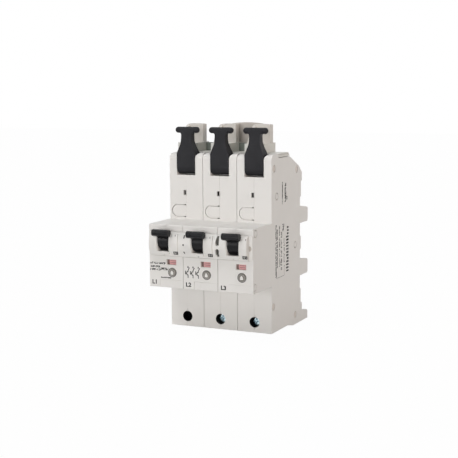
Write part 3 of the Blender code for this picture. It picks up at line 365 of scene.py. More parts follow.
def smoothSides(item, angle=35):  # rounded edges shade softly and flat faces stay flat
    item.data.shade_smooth()
    item.data.set_sharp_from_angle(angle=math.radians(angle))
    modifier = item.modifiers.new("flatFaces", "WEIGHTED_NORMAL")
    modifier.mode = "FACE_AREA"
    modifier.weight = 50
    modifier.keep_sharp = True
    bake(item)


def newItem(name, bm, material):
    bmesh.ops.recalc_face_normals(bm, faces=bm.faces)
    mesh = bpy.data.meshes.new(name)
    bm.to_mesh(mesh)
    bm.free()
    mesh.materials.append(finish[material])
    item = bpy.data.objects.new(name, mesh)
    bpy.context.collection.objects.link(item)
    return item


def bevelEdges(item, width, segments, angle):
    modifier = item.modifiers.new("roundedEdges", "BEVEL")
    modifier.width = width * mm
    modifier.segments = segments
    modifier.limit_method = "ANGLE"
    modifier.angle_limit = math.radians(angle)
    modifier.miter_outer = "MITER_ARC"


def cutWith(item, bm, operation="DIFFERENCE"):
    cutter = newItem("cutter", bm, "pocketGrey")
    cutter.data.materials.clear()
    modifier = item.modifiers.new("cut", "BOOLEAN")
    modifier.operation = operation
    modifier.solver = "EXACT"
    modifier.object = cutter
    bake(item)
    bpy.data.objects.remove(cutter)


def splitFaces(item, most=16):  # faces with many corners become triangles
    bm = bmesh.new()
    bm.from_mesh(item.data)
    large = [face for face in bm.faces if len(face.verts) > most]
    bmesh.ops.triangulate(bm, faces=large, ngon_method="BEAUTY")
    bm.to_mesh(item.data)
    bm.free()


def finishPiece(item, body, slot, bevel=0.0, segments=2, angle=30):
    if bevel:
        splitFaces(item)
        bevelEdges(item, bevel, segments, angle)
        bake(item)
        smoothSides(item)
    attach(item, body)
    return item


def addPiece(name, bm, material, body, slot, bevel=0.0):
    return finishPiece(newItem(name, bm, material), body, slot, bevel)


def cadCopy(name, node, material):  # a CAD node's mesh, merged, with its flat faces whole again
    bm = bmesh.new()
    bm.from_mesh(cadNodes[node].data)
    bmesh.ops.remove_doubles(bm, verts=bm.verts, dist=1e-6)
    bmesh.ops.dissolve_limit(bm, angle_limit=math.radians(1), verts=bm.verts, edges=bm.edges)
    return newItem(name, bm, material)


# The curved band that carries the toggles
noseFace, bodyFace = -87.5, -55.2  # the flat fronts of the nose and of the body behind it
inFront = -97.0  # clear of the whole nose, where cutters and blanks begin
bandSet = {
    "base": 57.6, "top": 75.2, "rise": 4.3, "lip": 0.5,
    "facets": 2, "fall": 0.37,  # facets from the middle to an edge, and the share of the rise lost there
    "blankRear": -88.0, "sink": 1.5,
    "skin": {"base": 57.7, "step": 0.875, "rows": 21},
}


def bandFront(z):  # how far forward the band's surface stands at a height
    middle = (bandSet["base"] + bandSet["top"]) / 2
    half = (bandSet["top"] - bandSet["base"]) / 2 - bandSet["lip"]
    share = min(max((z - middle) / half, -1.0), 1.0) * bandSet["facets"]
    low = math.floor(share)
    inner, outer = (bandSet["fall"] * (step / bandSet["facets"]) ** 2 for step in (low, low + 1))
    return noseFace - bandSet["rise"] * (1 - inner - (outer - inner) * (share - low))


# A piece of a front outline that follows the band's surface, with a hole of another outline if one is given
def addBandPiece(name, outline, material, proud, sink=bandSet["sink"], bevel=0.0, hole=None):
    item = newItem(name, addPrism(bmesh.new(), outline, inFront, bandSet["blankRear"], "Y"), material)
    skin = bandSet["skin"]
    heights = [skin["base"] + step * skin["step"] for step in range(skin["rows"])]
    sheet = [(bandFront(z) - proud, z) for z in heights]
    sheet += [(bandFront(z) + sink, z) for z in reversed(heights)]
    wide = [x for x, _ in outline]
    cutWith(item, addPrism(bmesh.new(), sheet, min(wide) - 1, max(wide) + 1), "INTERSECT")
    if hole:
        cutWith(item, addPrism(bmesh.new(), hole, inFront, bandSet["blankRear"], "Y"))
    return finishPiece(item, "case", "case_plastic", bevel)


# Case halves: knock-outs, label strips, pockets in the band
caseSet = {
    "bevel": 0.11,
    "bevelAngle": 28,
    "noseTop": (79.7, 1.0),  # height of the front edge, rounding
    "noseBase": (34.7, 0.5),
    "pastSides": (-45, 45),
    "seamHalf": 0.1,
    "knockOut": {
        "top": 90.4, "base": 81.6, "left": -7.2, "line": 0.5, "depth": 1.2,
        "slotX": (-2.1, -0.3), "slotHalf": 0.36, "slotFloor": -53.4,
    },
    "strip": {"height": 40.4, "left": -4.8, "right": 14.0, "drop": 6.5, "line": 0.22, "depth": 0.3},
    "grooves": {"base": (75.15, 57.35), "height": 0.3, "half": 13.6, "y": (-88.2, -86.9)},  # along the band
    "screwHole": {"z": 7.45, "radius": 4.0, "rear": -48},
    "slots": {
        "line": 0.85, "depth": 1.6,
        "paths": [[(-10.55, 73.5), (-10.95, 71.1)], [(-11.1, 61.8), (-10.3, 60.5)]],
    },
    "dot": {"x": -11.2, "z": 66.6, "radius": 0.65, "floor": -89.6},
    "drops": {
        "x": -12.0, "half": 1.35, "neck": 3.55, "point": (-0.15, 0.9), "floor": -89.2,
        "ends": [(67.3, 74.2), (65.3, 59.8)],  # height of the round end, height of the point
    },
    "bandStart": {"x": (-42, -38.5), "z": (57.0, 76.0)},
}


def dropOutline(x, values, wide, tip):  # a drop with its round end at one height and its point at the other
    half, (left, right) = values["half"], values["point"]
    way = 1 if tip > wide else -1
    turns = (360, 180) if way > 0 else (0, 180)
    outline = arcPoints((x, wide + way * half), half, *turns, 10)
    outline.append((x - half, wide + way * values["neck"]))
    return outline + [(x + half * left, tip), (x + half * right, tip)]


def frontCorner(edge, radius, way):  # what rounding takes from the nose's top (1) or bottom (-1) front edge
    front, rear, inside = noseFace - 1, noseFace + radius, edge - way * radius
    arc = arcPoints((rear, inside), radius, 180, 180 - way * 90, 6)
    outline = [(front, inside)] + arc + [(rear, edge + way), (front, edge + way)]
    return addPrism(bmesh.new(), outline, *caseSet["pastSides"])


def caseCuts(pole, side):
    centre = poleCentres[pole]
    knock, strip, groove = caseSet["knockOut"], caseSet["strip"], caseSet["grooves"]
    cuts = [frontCorner(*caseSet["noseTop"], 1), frontCorner(*caseSet["noseBase"], -1)]
    lines = bmesh.new()
    if side == "left":
        seam = -caseSet["seamHalf"]
        radius, middle = (knock["top"] - knock["base"]) / 2, (knock["top"] + knock["base"]) / 2
        path = [(seam, knock["top"])] + arcPoints((knock["left"], middle), radius, 90, 270, 16)
        path += [(seam, knock["base"])]
        addStroke(lines, shifted(path, centre), knock["line"], bodyFace - 1, bodyFace + knock["depth"])
        slots = bmesh.new()
        for height in (knock["top"], knock["base"]):
            wide = [centre + x for x in knock["slotX"]]
            addBox(slots, wide, (bodyFace - 1, knock["slotFloor"]), around(height, knock["slotHalf"]))
        cuts.append(slots)
        path = [(seam, strip["height"]), (strip["left"], strip["height"])]
        if pole < 3:
            path += [(strip["left"], strip["height"] - strip["drop"])]
    else:
        path = [(caseSet["seamHalf"], strip["height"]), (strip["right"], strip["height"])]
    addStroke(lines, shifted(path, centre), strip["line"], noseFace - 1, noseFace + strip["depth"])
    cuts.append(lines)
    grooves = bmesh.new()
    for base in groove["base"]:
        addBox(grooves, around(centre, groove["half"]), groove["y"], (base, base + groove["height"]))
    cuts.append(grooves)
    if side == "left" and pole == 1:  # the band's left end stands back from the nose's side
        start = caseSet["bandStart"]
        cuts.append(addBox(bmesh.new(), start["x"], (inFront, noseFace), start["z"]))
    if side == "left" and pole == 2:
        marks, slots, dot = bmesh.new(), caseSet["slots"], caseSet["dot"]
        for path in slots["paths"]:
            floor = bandFront(path[0][1]) + slots["depth"]
            addStroke(marks, shifted(path, centre), slots["line"], inFront, floor)
        profile = [(0, inFront), (dot["radius"], inFront), (dot["radius"], dot["floor"]), (0, dot["floor"])]
        cuts += [marks, addTurned(bmesh.new(), profile, (centre + dot["x"], 0, dot["z"]))]
    if side == "left" and pole == 3:
        pockets, drops = bmesh.new(), caseSet["drops"]
        for wide, tip in drops["ends"]:
            outline = dropOutline(centre + drops["x"], drops, wide, tip)
            addPrism(pockets, outline, inFront, drops["floor"], "Y")
        cuts.append(pockets)
    return cuts


for pole in poleCentres:
    for side in ("left", "right"):
        node = f"case_{side}_{pole}"
        item = cadCopy(f"case{side.title()}Half_{pole}", node, "casePlastic")
        for cutter in caseCuts(pole, side):
            cutWith(item, cutter)
        finishPiece(item, "case", "case_plastic", caseSet["bevel"], angle=caseSet["bevelAngle"])
        item.data.materials.append(finish["paintedHoleShade"])  # painted shade: the walls of the screw holes are drawn black
        screwHole = caseSet["screwHole"]
        hole = spot(poleCentres[pole], screwHole["rear"], screwHole["z"])
        for face in item.data.polygons:
            away = math.hypot(face.center.x - hole.x, face.center.z - hole.z)
            if away < screwHole["radius"] * mm and face.center.y < hole.y:
                face.material_index = 1
        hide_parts(node)
print("case halves are ready")

# Tongues that close the seam inside each pole, bridges on the band, and the pockets' floors
seamSet = {
    "half": 0.17,
    "sink": {1: 0.06, 2: 0.16, 3: 0.16},
    "tongues": [
        ((bodyFace, -54.2), (13.0, 34.4)), ((bodyFace, -54.2), (0.3, 2.0)), ((-86.6, -55.4), (34.76, 35.6)),
        ((-87.46, -86.6), (34.9, 57.3)), ((-87.46, -86.6), (75.6, 78.6)), ((-86.6, -55.4), (78.8, 79.64)),
        ((bodyFace, -54.2), (79.9, 97.2)), ((bodyFace, -54.2), (101.5, 111.9)), ((-0.9, -0.1), (1.0, 114.0)),
    ],
    "backing": {"x": (-2.3, 0.1), "y": (-53.6, -53.2), "z": (97.2, 101.5)},
}
bridgeSet = {"borders": (-13.5, 13.5), "half": 0.2, "z": (57.9, 74.9), "proud": -0.02}
floorsSet = {
    "pockets": ((13.65, 17.0), (-89.4, -89.0), (59.5, 74.5)),
    "marks": {"x": (-12.1, -9.9), "z": (60.0, 74.1), "proud": -0.3, "sink": 1.2},
}
tongues, backings = bmesh.new(), bmesh.new()
for pole, centre in poleCentres.items():
    for y, z in seamSet["tongues"]:
        sink = seamSet["sink"][pole] if y[0] == bodyFace else 0.0
        addBox(tongues, around(centre, seamSet["half"]), (y[0] + sink, y[1]), z)
    backing = seamSet["backing"]
    addBox(backings, [centre + x for x in backing["x"]], backing["y"], backing["z"])
# painted shade: black backings behind the test holes stand for the dark inside them
addPiece("testHoleShadeBackings", backings, "paintedHoleShade", "case", "case_plastic")
addPiece("seamTongues", tongues, "casePlastic", "case", "case_plastic")
for number, border in enumerate(bridgeSet["borders"], 1):
    outline = rectangle(around(border, bridgeSet["half"]), bridgeSet["z"])
    addBandPiece(f"bandBridge_{number}", outline, "casePlastic", bridgeSet["proud"])
addPiece("pocketFloors", addBox(bmesh.new(), *floorsSet["pockets"]), "pocketGrey", "case", "case_plastic")
# painted shade: black floors in the slots and the dot stand for the dark of their depth
marks = floorsSet["marks"]
addBandPiece("markShadeFloors", rectangle(marks["x"], marks["z"]), "printBlack", marks["proud"], marks["sink"])

# Panel and half disc at the band's right end
endSet = {
    "x": (10.5, 13.25), "z": (58.6, 74.9), "y": (-88.7, -87.45), "bevel": 0.2,
    "corners": (1.8, 0.8),  # rounding of the lower and the upper right corner
    "disc": {
        "x": 10.75, "z": 66.3, "radius": 1.9, "gap": 0.1, "half": 1.75,
        "hole": (-90, -88.0), "y": (-88.45, -87.6),
    },
}
lastCentre, disc = poleCentres[3], endSet["disc"]
(left, right), (base, top), (lower, upper) = endSet["x"], endSet["z"], endSet["corners"]
outline = [(left, base)] + arcPoints((right - lower, base + lower), lower, 270, 360, 6)
outline += arcPoints((right - upper, top - upper), upper, 0, 90, 4) + [(left, top)]
panel = addPrism(bmesh.new(), shifted(outline, lastCentre), *endSet["y"], "Y")
panel = newItem("bandEndPanel", panel, "casePlastic")
front, rear = disc["hole"]
profile = [(0, front), (disc["radius"], front), (disc["radius"], rear), (0, rear)]
cutWith(panel, addTurned(bmesh.new(), profile, (disc["x"] + lastCentre, 0, disc["z"])))
finishPiece(panel, "case", "case_plastic", endSet["bevel"])
outline = arcPoints((disc["x"], disc["z"]), disc["radius"] - disc["gap"], -90, 90, 14)
outline = [(x, z) for x, z in outline if x >= left]
outline += [(left, disc["z"] + disc["half"]), (left, disc["z"] - disc["half"])]
outline = addPrism(bmesh.new(), shifted(outline, lastCentre), *disc["y"], "Y")
# painted shade: the recessed half disc is drawn in the darker beige
addPiece("bandEndDisc", outline, "paintedShadeBeige", "case", "case_plastic")

# Raised frame and plate around each toggle
frameSet = {
    "left": -7.5, "base": 59.3, "rib": -4.85, "ribTop": 72.0, "sill": 61.2, "sillEnd": 4.4, "corner": 1.3,
    "proud": 0.75, "bevel": 0.22,
}
plateSet = {
    "x": (4.45, 11.35), "lastEnd": 10.3, "z": (61.6, 74.0), "corner": 0.25, "proud": 0.75, "bevel": 0.2,
}
for pole, centre in poleCentres.items():
    left, base, sill, corner = (frameSet[key] for key in ("left", "base", "sill", "corner"))
    outline = [(left, frameSet["ribTop"])] + arcPoints((left + corner, base + corner), corner, 180, 270, 6)
    outline += [(frameSet["sillEnd"], base), (frameSet["sillEnd"], sill)]
    outline += [(frameSet["rib"], sill), (frameSet["rib"], frameSet["ribTop"])]
    proud, bevel = frameSet["proud"], frameSet["bevel"]
    addBandPiece(f"toggleFrame_{pole}", shifted(outline, centre), "casePlastic", proud, bevel=bevel)
    left, right = plateSet["x"][0], plateSet["x"][1] if pole < 3 else plateSet["lastEnd"]
    outline = roundedBox((left + centre, right + centre), plateSet["z"], plateSet["corner"])
    addBandPiece(f"togglePlate_{pole}", outline, "casePlastic", plateSet["proud"], bevel=plateSet["bevel"])
print("band is ready")

# Hoods, their covers and the wall behind
coverSet = {
    "bevel": 0.22,
    "lineX": (39.7, 41.0),
    "lines": [((-41.0, -21.5), (125.0, 125.6)), ((-41.4, -24.5), (127.2, 127.75))],
}
# painted shade: a dark sheet beside the covers of poles 1 and 2, where the gap to the next pole lies in
# shadow
canyonShadeSet = {"x": (2.2, 13.3), "y": (-26.0, -25.0), "z": (128.3, 134.6), "bevel": 0.2}
hoodSet = {
    "bevel": 0.45, "segments": 3, "shadeFront": -20.6, "shadeBase": 134,
    "arch": {
        "x": -5.5, "half": 6.7, "top": 148.75, "drop": 0.7, "steps": 12, "above": 151.0, "y": (-45, -21.2),
    },
}


def archOutline(centre, values):  # what the hood's arched top leaves out
    outline = []
    for step in range(values["steps"] + 1):
        share = 2 * step / values["steps"] - 1
        x = centre + values["x"] + share * values["half"]
        outline.append((x, values["top"] - values["drop"] * share ** 2))
    return outline + [(outline[-1][0], values["above"]), (outline[0][0], values["above"])]


for pole, centre in poleCentres.items():
    cover = cadCopy(f"hoodCover_{pole}", f"clamp_guide_{pole}", "coverPlastic")
    if pole == 3:
        lines = bmesh.new()
        for y, z in coverSet["lines"]:
            addBox(lines, coverSet["lineX"], y, z)
        cutWith(cover, lines)
    finishPiece(cover, "case", "guide_plastic", coverSet["bevel"])
    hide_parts(f"clamp_guide_{pole}")
    # painted shade: the sheet stands for the shadow in the gap to the next pole
    if pole < 3:
        rib = addBox(bmesh.new(), [x + centre for x in canyonShadeSet["x"]], canyonShadeSet["y"], canyonShadeSet["z"])
        addPiece(f"coverShadeSheet_{pole}", rib, "canyonShadeGrey", "case", "guide_plastic", canyonShadeSet["bevel"])
    hood = cadCopy(f"hood_{pole}", f"clamp_slider_{pole}", "hoodPlastic")
    arch = hoodSet["arch"]
    cutWith(hood, addPrism(bmesh.new(), archOutline(centre, arch), *arch["y"], "Y"))
    finishPiece(hood, bodyOf[f"clamp_slider_{pole}"], "hood_plastic", hoodSet["bevel"], hoodSet["segments"])
    # painted shade: the hood's rear wall gets the darker beige
    hood.data.materials.append(finish["paintedShadeBeige"])
    wall = spot(0, hoodSet["shadeFront"], hoodSet["shadeBase"])
    for face in hood.data.polygons:
        if face.center.y > wall.y and face.center.z > wall.z:
            face.material_index = 1
    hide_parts(f"clamp_slider_{pole}")
print("hoods are ready")

# Levers and toggles
leverSet = {
    "bar": (-52.0, 144.8), "radius": 2.22, "half": 9.6,
    "bevel": 0.45, "segments": 3, "bevelAngle": 25,
}
toggleSet = {
    "axis": (-85.6, 68.6), "angle": 33.4, "swing": 64, "bevel": 0.32, "bevelAngle": 32,
    "flare": {"half": 1.9, "outline": [(3.9, 7.2), (4.2, 8.1), (6.6, 8.75), (6.6, 11.25)]},
    "relief": {"inner": 4.1, "outer": 8, "y": (-92.62, -89), "z": (60.5, 67.5)},
    "trim": {"inner": 6.45, "outer": 8, "y": (-100, -88), "z": (66, 82)},
}


def leverBar(centre, values):  # the round cross bar with its domed ends
    radius, half = values["radius"], values["half"]
    ends = [(y, x) for x, y in arcPoints((-half + radius, 0), radius, 180, 90, 8)]
    ends += [(y, x) for x, y in arcPoints((half - radius, 0), radius, 90, 0, 8)]
    ends[0], ends[-1] = (0, -half), (0, half)
    return addTurned(bmesh.new(), ends, (centre, *values["bar"]), "X", 40)


def handleFlare(centre, values):  # widens the handle from the drum to its cross bar
    turn, flare = math.radians(values["angle"]), values["flare"]
    along, across = Vector((-math.cos(turn), math.sin(turn))), Vector((math.sin(turn), math.cos(turn)))
    right = flare["outline"]  # half width, reach from the axis
    outline = [(-right[0][0], right[0][1])] + right + [(-x, reach) for x, reach in reversed(right[1:])]
    bm = bmesh.new()
    rows = []
    for level in (-flare["half"], flare["half"]):
        row = []
        for x, reach in outline:
            place = Vector(values["axis"]) + along * reach + across * level
            row.append(bm.verts.new(spot(centre + x, place.x, place.y)))
        rows.append(row)
    bm.faces.new(rows[0])
    bm.faces.new(rows[1][::-1])
    for index in range(len(outline)):
        after = (index + 1) % len(outline)
        bm.faces.new((rows[0][after], rows[0][index], rows[1][index], rows[1][after]))
    return bm


def sideBoxes(centre, values):  # one box on each side of a pole's centre
    bm = bmesh.new()
    for side in (-1, 1):
        wide = sorted((centre + side * values["inner"], centre + side * values["outer"]))
        addBox(bm, wide, values["y"], values["z"])
    return bm


def handleRelief(centre, values):  # the room that the cross bar needs in front of the plates when it is down
    bm = sideBoxes(centre, values["relief"])
    middle = spot(centre, *values["axis"])
    back = Matrix.Rotation(-math.radians(values["swing"]), 4, "X")
    about = Matrix.Translation(middle) @ back @ Matrix.Translation(-middle)
    bmesh.ops.transform(bm, verts=bm.verts, matrix=about)
    return bm


for pole, centre in poleCentres.items():
    lever = cadCopy(f"leverArm_{pole}", f"lever_{pole}", "leverPlastic")
    cutWith(lever, leverBar(centre, leverSet), "UNION")
    width, segments, angle = (leverSet[key] for key in ("bevel", "segments", "bevelAngle"))
    finishPiece(lever, bodyOf[f"lever_{pole}"], "black_plastic", width, segments, angle)
    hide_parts(f"lever_{pole}")
    toggle = cadCopy(f"toggleKnob_{pole}", f"toggle_{pole}", "togglePlastic")
    cutWith(toggle, handleFlare(centre, toggleSet), "UNION")
    cutWith(toggle, handleRelief(centre, toggleSet))
    cutWith(toggle, sideBoxes(centre, toggleSet["trim"]))
    width, angle = toggleSet["bevel"], toggleSet["bevelAngle"]
    finishPiece(toggle, bodyOf[f"toggle_{pole}"], "toggle_plastic", width, angle=angle)
    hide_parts(f"toggle_{pole}")
print("levers and toggles are ready")

# Buttons and flags
buttonSet = {
    "place": (4.8, 45.75),
    "cap": [  # radius, y
        (0, -87.85), (1.75, -87.85), (1.8, -88.1), (2.25, -88.1), (2.5, -87.85), (2.5, -85.7), (3.4, -85.7),
        (3.4, -84.7), (0, -84.7),
    ],
    "ring": {"radii": (2.85, 3.4), "y": (-87.56, -87.4)},
    "arrow": {
        "y": (-88.25, -87.8), "bevel": 0.1,
        "outline": [(-1.15, -1.5), (1.15, -1.5), (1.15, 0.25), (0.0, 1.75), (-1.15, 0.25)],
    },
    "edge": {"grow": (1.28, 1.25), "lift": 0.02, "y": (-88.15, -87.8)},
}
flagSet = {
    "x": (0.0, 8.3), "y": (-85.7, -84.7), "z": (50.9, 55.3), "printEnd": 1.9,
    "tail": [((-83.5, -83.1), (46.4, 51.2)), ((-84.72, -83.4), (50.95, 51.25))],
    "lines": {"inset": (0.5, 0.8), "y": (-85.73, -85.6), "base": (52.4, 53.7), "height": 0.3},
}
for pole, centre in poleCentres.items():
    x, z = centre + buttonSet["place"][0], buttonSet["place"][1]
    cap = addTurned(bmesh.new(), buttonSet["cap"], (x, 0, z))
    button = addPiece(f"buttonCap_{pole}", cap, "buttonGrey", f"button_{pole}", "button_plastic")
    smoothSides(button)
    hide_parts(f"trip_button_{pole}")
    arrow, edge = buttonSet["arrow"], buttonSet["edge"]
    wider, taller = edge["grow"]
    outline = [(x + a * wider, z + edge["lift"] + b * taller) for a, b in arrow["outline"]]
    rim = addPrism(bmesh.new(), outline, *edge["y"], "Y")
    addPiece(f"buttonArrowEdge_{pole}", rim, "buttonRim", f"button_{pole}", "button_plastic")
    sign = addPrism(bmesh.new(), [(x + a, z + b) for a, b in arrow["outline"]], *arrow["y"], "Y")
    addPiece(f"buttonArrow_{pole}", sign, "casePlastic", f"button_{pole}", "button_plastic", arrow["bevel"])
    (inner, outer), (front, rear) = buttonSet["ring"]["radii"], buttonSet["ring"]["y"]
    profile = [(inner, front), (outer, front), (outer, rear), (inner, rear), (inner, front)]
    ring = addTurned(bmesh.new(), profile, (x, 0, z))
    bmesh.ops.remove_doubles(ring, verts=ring.verts, dist=1e-7)
    addPiece(f"buttonRing_{pole}", ring, "buttonRim", "case", "case_plastic")

    left, right = (centre + x for x in flagSet["x"])
    split = centre + flagSet["printEnd"]
    flag = addBox(bmesh.new(), (split, right), flagSet["y"], flagSet["z"])
    flag = addPiece(f"flagRed_{pole}", flag, "flagPlastic", f"flag_{pole}", "flag_red")
    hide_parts(f"indicator_flag_{pole}")
    side = addBox(bmesh.new(), (left, split), flagSet["y"], flagSet["z"])
    addPiece(f"flagPrint_{pole}", side, "flagPrint", f"flag_{pole}", "flag_red")
    tail = bmesh.new()
    for y, z in flagSet["tail"]:
        addBox(tail, (left, right), y, z)
    addPiece(f"flagTail_{pole}", tail, "flagGreen", f"flag_{pole}", "flag_red")
    stripes, lines = bmesh.new(), flagSet["lines"]
    for base in lines["base"]:
        wide = (split + lines["inset"][0], right - lines["inset"][1])
        addBox(stripes, wide, lines["y"], (base, base + lines["height"]))
    addPiece(f"flagLines_{pole}", stripes, "flagPrint", f"flag_{pole}", "flag_red")
print("buttons and flags are ready")

# Letters, marks and switch symbols on the nose
printSet = {
    "layer": (-87.53, -87.46),  # front and back of the ink
    "letters": {"height": 2.9, "stretch": 1.08, "bold": 0.035},
    "poleText": {1: ("L1", -11.3, 36.9), 2: ("L2", -11.4, 36.6), 3: ("L3", -11.2, 36.3)},
    "bandSink": 0.1,
    "onMark": {"x": 9.6, "z": 72.9, "halfWide": 0.22, "halfHigh": 0.6, "proud": 0.05},
    "offMark": {"x": (7.75, 11.35), "z": (59.3, 61.6), "corner": 0.25, "proud": 0.04, "lastShift": -0.9},
    "offRing": {"inset": 1.2, "radii": (0.62, 0.36)},
    "offBar": {"inset": 0.9, "half": 0.15, "margin": 0.5},
    "signProud": 0.06,
    "symbols": {
        "x": (-9.7, -5.8, -1.65), "base": 42.8, "line": 0.56,
        "strokes": [
            [(0, 0), (0, 2.2)], [(0, 4.4), (0, 5.3)], [(0, 5.3), (1.1, 7.4)], [(0, 7.5), (0, 8.4)],
            [(-0.45, 7.45), (0.45, 7.45)], [(-1.0, 2.2), (0.2, 2.2)], [(-1.0, 4.4), (0.2, 4.4)],
            [(-1.0, 2.2), (-1.0, 4.4)], [(-2.0, 2.4), (-2.0, 5.0)], [(-2.0, 3.3), (-1.2, 3.3)],
        ],
    },
}


def textShape(words, x, z, values):  # words as thin mesh, standing on (x, z) on the nose's front
    curve = bpy.data.curves.new("words", "FONT")
    curve.body = words
    curve.offset = values["bold"]
    writer = bpy.data.objects.new("words", curve)
    bpy.context.collection.objects.link(writer)
    bpy.context.view_layer.update()
    mesh = bpy.data.meshes.new_from_object(writer.evaluated_get(bpy.context.evaluated_depsgraph_get()))
    bm = bmesh.new()
    bm.from_mesh(mesh)
    bpy.data.objects.remove(writer)
    bpy.data.curves.remove(curve)
    bpy.data.meshes.remove(mesh)
    bmesh.ops.remove_doubles(bm, verts=bm.verts, dist=1e-5)
    scale = values["height"] / max(vert.co.y for vert in bm.verts)
    left = min(vert.co.x for vert in bm.verts)
    thick = bmesh.ops.extrude_face_region(bm, geom=bm.faces[:])
    deeper = {part for part in thick["geom"] if isinstance(part, bmesh.types.BMVert)}
    front, rear = printSet["layer"]
    for vert in bm.verts:
        along = (vert.co.x - left) * scale * values["stretch"]
        vert.co = spot(x + along, rear if vert in deeper else front, z + vert.co.y * scale)
    return bm


for pole, centre in poleCentres.items():
    words, x, z = printSet["poleText"][pole]
    letters = textShape(words, centre + x, z, printSet["letters"])
    addPiece(f"poleText_{pole}", letters, "printBlack", "case", "case_plastic")
    on, off, sink, proud = (printSet[key] for key in ("onMark", "offMark", "bandSink", "signProud"))
    outline = rectangle(around(centre + on["x"], on["halfWide"]), around(on["z"], on["halfHigh"]))
    addBandPiece(f"onMark_{pole}", outline, "printBlack", plateSet["proud"] + on["proud"], sink)
    start = centre if pole < 3 else centre + off["lastShift"]
    (left, right), (base, top) = (start + x for x in off["x"]), off["z"]
    outline = roundedBox((left, right), off["z"], off["corner"])
    addBandPiece(f"offMark_{pole}", outline, "printBlack", off["proud"], sink)
    middle = (left + printSet["offRing"]["inset"], (base + top) / 2)
    outer, inner = printSet["offRing"]["radii"]
    outline, hole = arcPoints(middle, outer, 0, 360, 20)[:-1], arcPoints(middle, inner, 0, 360, 16)[:-1]
    addBandPiece(f"offRing_{pole}", outline, "casePlastic", proud, sink, hole=hole)
    bar = printSet["offBar"]
    wide, high = around(right - bar["inset"], bar["half"]), (base + bar["margin"], top - bar["margin"])
    outline = rectangle(wide, high)
    addBandPiece(f"offBar_{pole}", outline, "casePlastic", proud, sink)

symbols, values = bmesh.new(), printSet["symbols"]
for x in values["x"]:
    for stroke in values["strokes"]:
        path = [(x + a, values["base"] + b) for a, b in stroke]
        addStroke(symbols, path, values["line"], *printSet["layer"])
addPiece("switchSymbols", symbols, "printBlack", "case", "case_plastic")


def newTree(name, inputs):  # a geometry tree with named inputs, and their sockets
    tree = bpy.data.node_groups.new(name, "GeometryNodeTree")
    for label, kind, value in [("Geometry", "Geometry", None), *inputs, ("Material", "Material", None)]:
        socket = tree.interface.new_socket(label, in_out="INPUT", socket_type=f"NodeSocket{kind}")
        if value is not None:
            socket.default_value = value
    tree.interface.new_socket("Geometry", in_out="OUTPUT", socket_type="NodeSocketGeometry")
    return tree, tree.nodes.new("NodeGroupInput").outputs


def closeTree(tree, shape, material):  # plain mesh with its material comes out
    plain = addNode(tree, "GeometryNodeRealizeInstances", None, {"Geometry": shape})
    coat = addNode(tree, "GeometryNodeSetMaterial", None, {
        "Geometry": plain.outputs["Geometry"], "Material": material,
    })
    addNode(tree, "NodeGroupOutput", None, {"Geometry": coat.outputs["Geometry"]})
    return tree


def growTree(name, tree, material, values):  # runs a tree on an empty mesh and keeps the plain result
    item = bpy.data.objects.new(name, bpy.data.meshes.new(name))
    bpy.context.collection.objects.link(item)
    modifier = item.modifiers.new("shape", "NODES")
    modifier.node_group = tree
    values = {**values, "Material": finish[material]}
    for socket in tree.interface.items_tree:
        if socket.item_type == "SOCKET" and socket.in_out == "INPUT" and socket.name in values:
            modifier[socket.identifier] = values[socket.name]
    bake(item)
    return item


def placeGrown(item, turnTo):  # moves every vertex of a grown piece into its place
    for vert in item.data.vertices:
        vert.co = turnTo(vert.co)
    bm = bmesh.new()
    bm.from_mesh(item.data)
    bmesh.ops.remove_doubles(bm, verts=bm.verts, dist=1e-7)
    bmesh.ops.recalc_face_normals(bm, faces=bm.faces)
    bm.to_mesh(item.data)
    bm.free()


# Rows of small dashes that stand for the print
dashSet = {"least": (0.75, 0.8, 1.0), "most": (1.0, 1.25, 1.0), "thick": 0.05}


def buildDashTree(values):
    tree, inputs = newTree("dashRows", [
        ("Width", "Float", 0.001), ("Height", "Float", 0.01), ("Columns", "Int", 2), ("Rows", "Int", 20),
        ("Dash", "Vector", (0.0005, 0.0002, 0.0)), ("Gaps", "Float", 0.2), ("Seed", "Int", 1),
    ])
    grid = addNode(tree, "GeometryNodeMeshGrid", None, {
        "Size X": inputs["Width"], "Size Y": inputs["Height"],
        "Vertices X": inputs["Columns"], "Vertices Y": inputs["Rows"],
    })
    drop = addNode(tree, "FunctionNodeRandomValue", {"data_type": "BOOLEAN"}, {
        "Seed": inputs["Seed"], "Probability": inputs["Gaps"],
    })
    thin = addNode(tree, "GeometryNodeDeleteGeometry", {"domain": "POINT"}, {
        "Geometry": grid.outputs["Mesh"], "Selection": drop.outputs[3],
    })
    stretch = addNode(tree, "FunctionNodeRandomValue", {
        "data_type": "FLOAT_VECTOR", 0: values["least"], 1: values["most"],
    }, {"Seed": inputs["Seed"]})
    dash = addNode(tree, "GeometryNodeMeshCube", None, {"Size": inputs["Dash"]})
    spread = addNode(tree, "GeometryNodeInstanceOnPoints", None, {
        "Points": thin.outputs["Geometry"], "Instance": dash.outputs["Mesh"], "Scale": stretch.outputs[0],
    })
    return closeTree(tree, spread.outputs["Instances"], inputs["Material"])


def growRows(name, material, size, counts, dash, gaps, seed, turnTo):  # drawn flat, then turned into place
    item = growTree(name, dashTree, material, {
        "Width": size[0] * mm, "Height": size[1] * mm, "Columns": counts[0], "Rows": counts[1],
        "Dash": tuple(part * mm for part in (*dash, dashSet["thick"])), "Gaps": gaps, "Seed": seed,
    })
    placeGrown(item, turnTo)
    finishPiece(item, "case", "case_plastic")


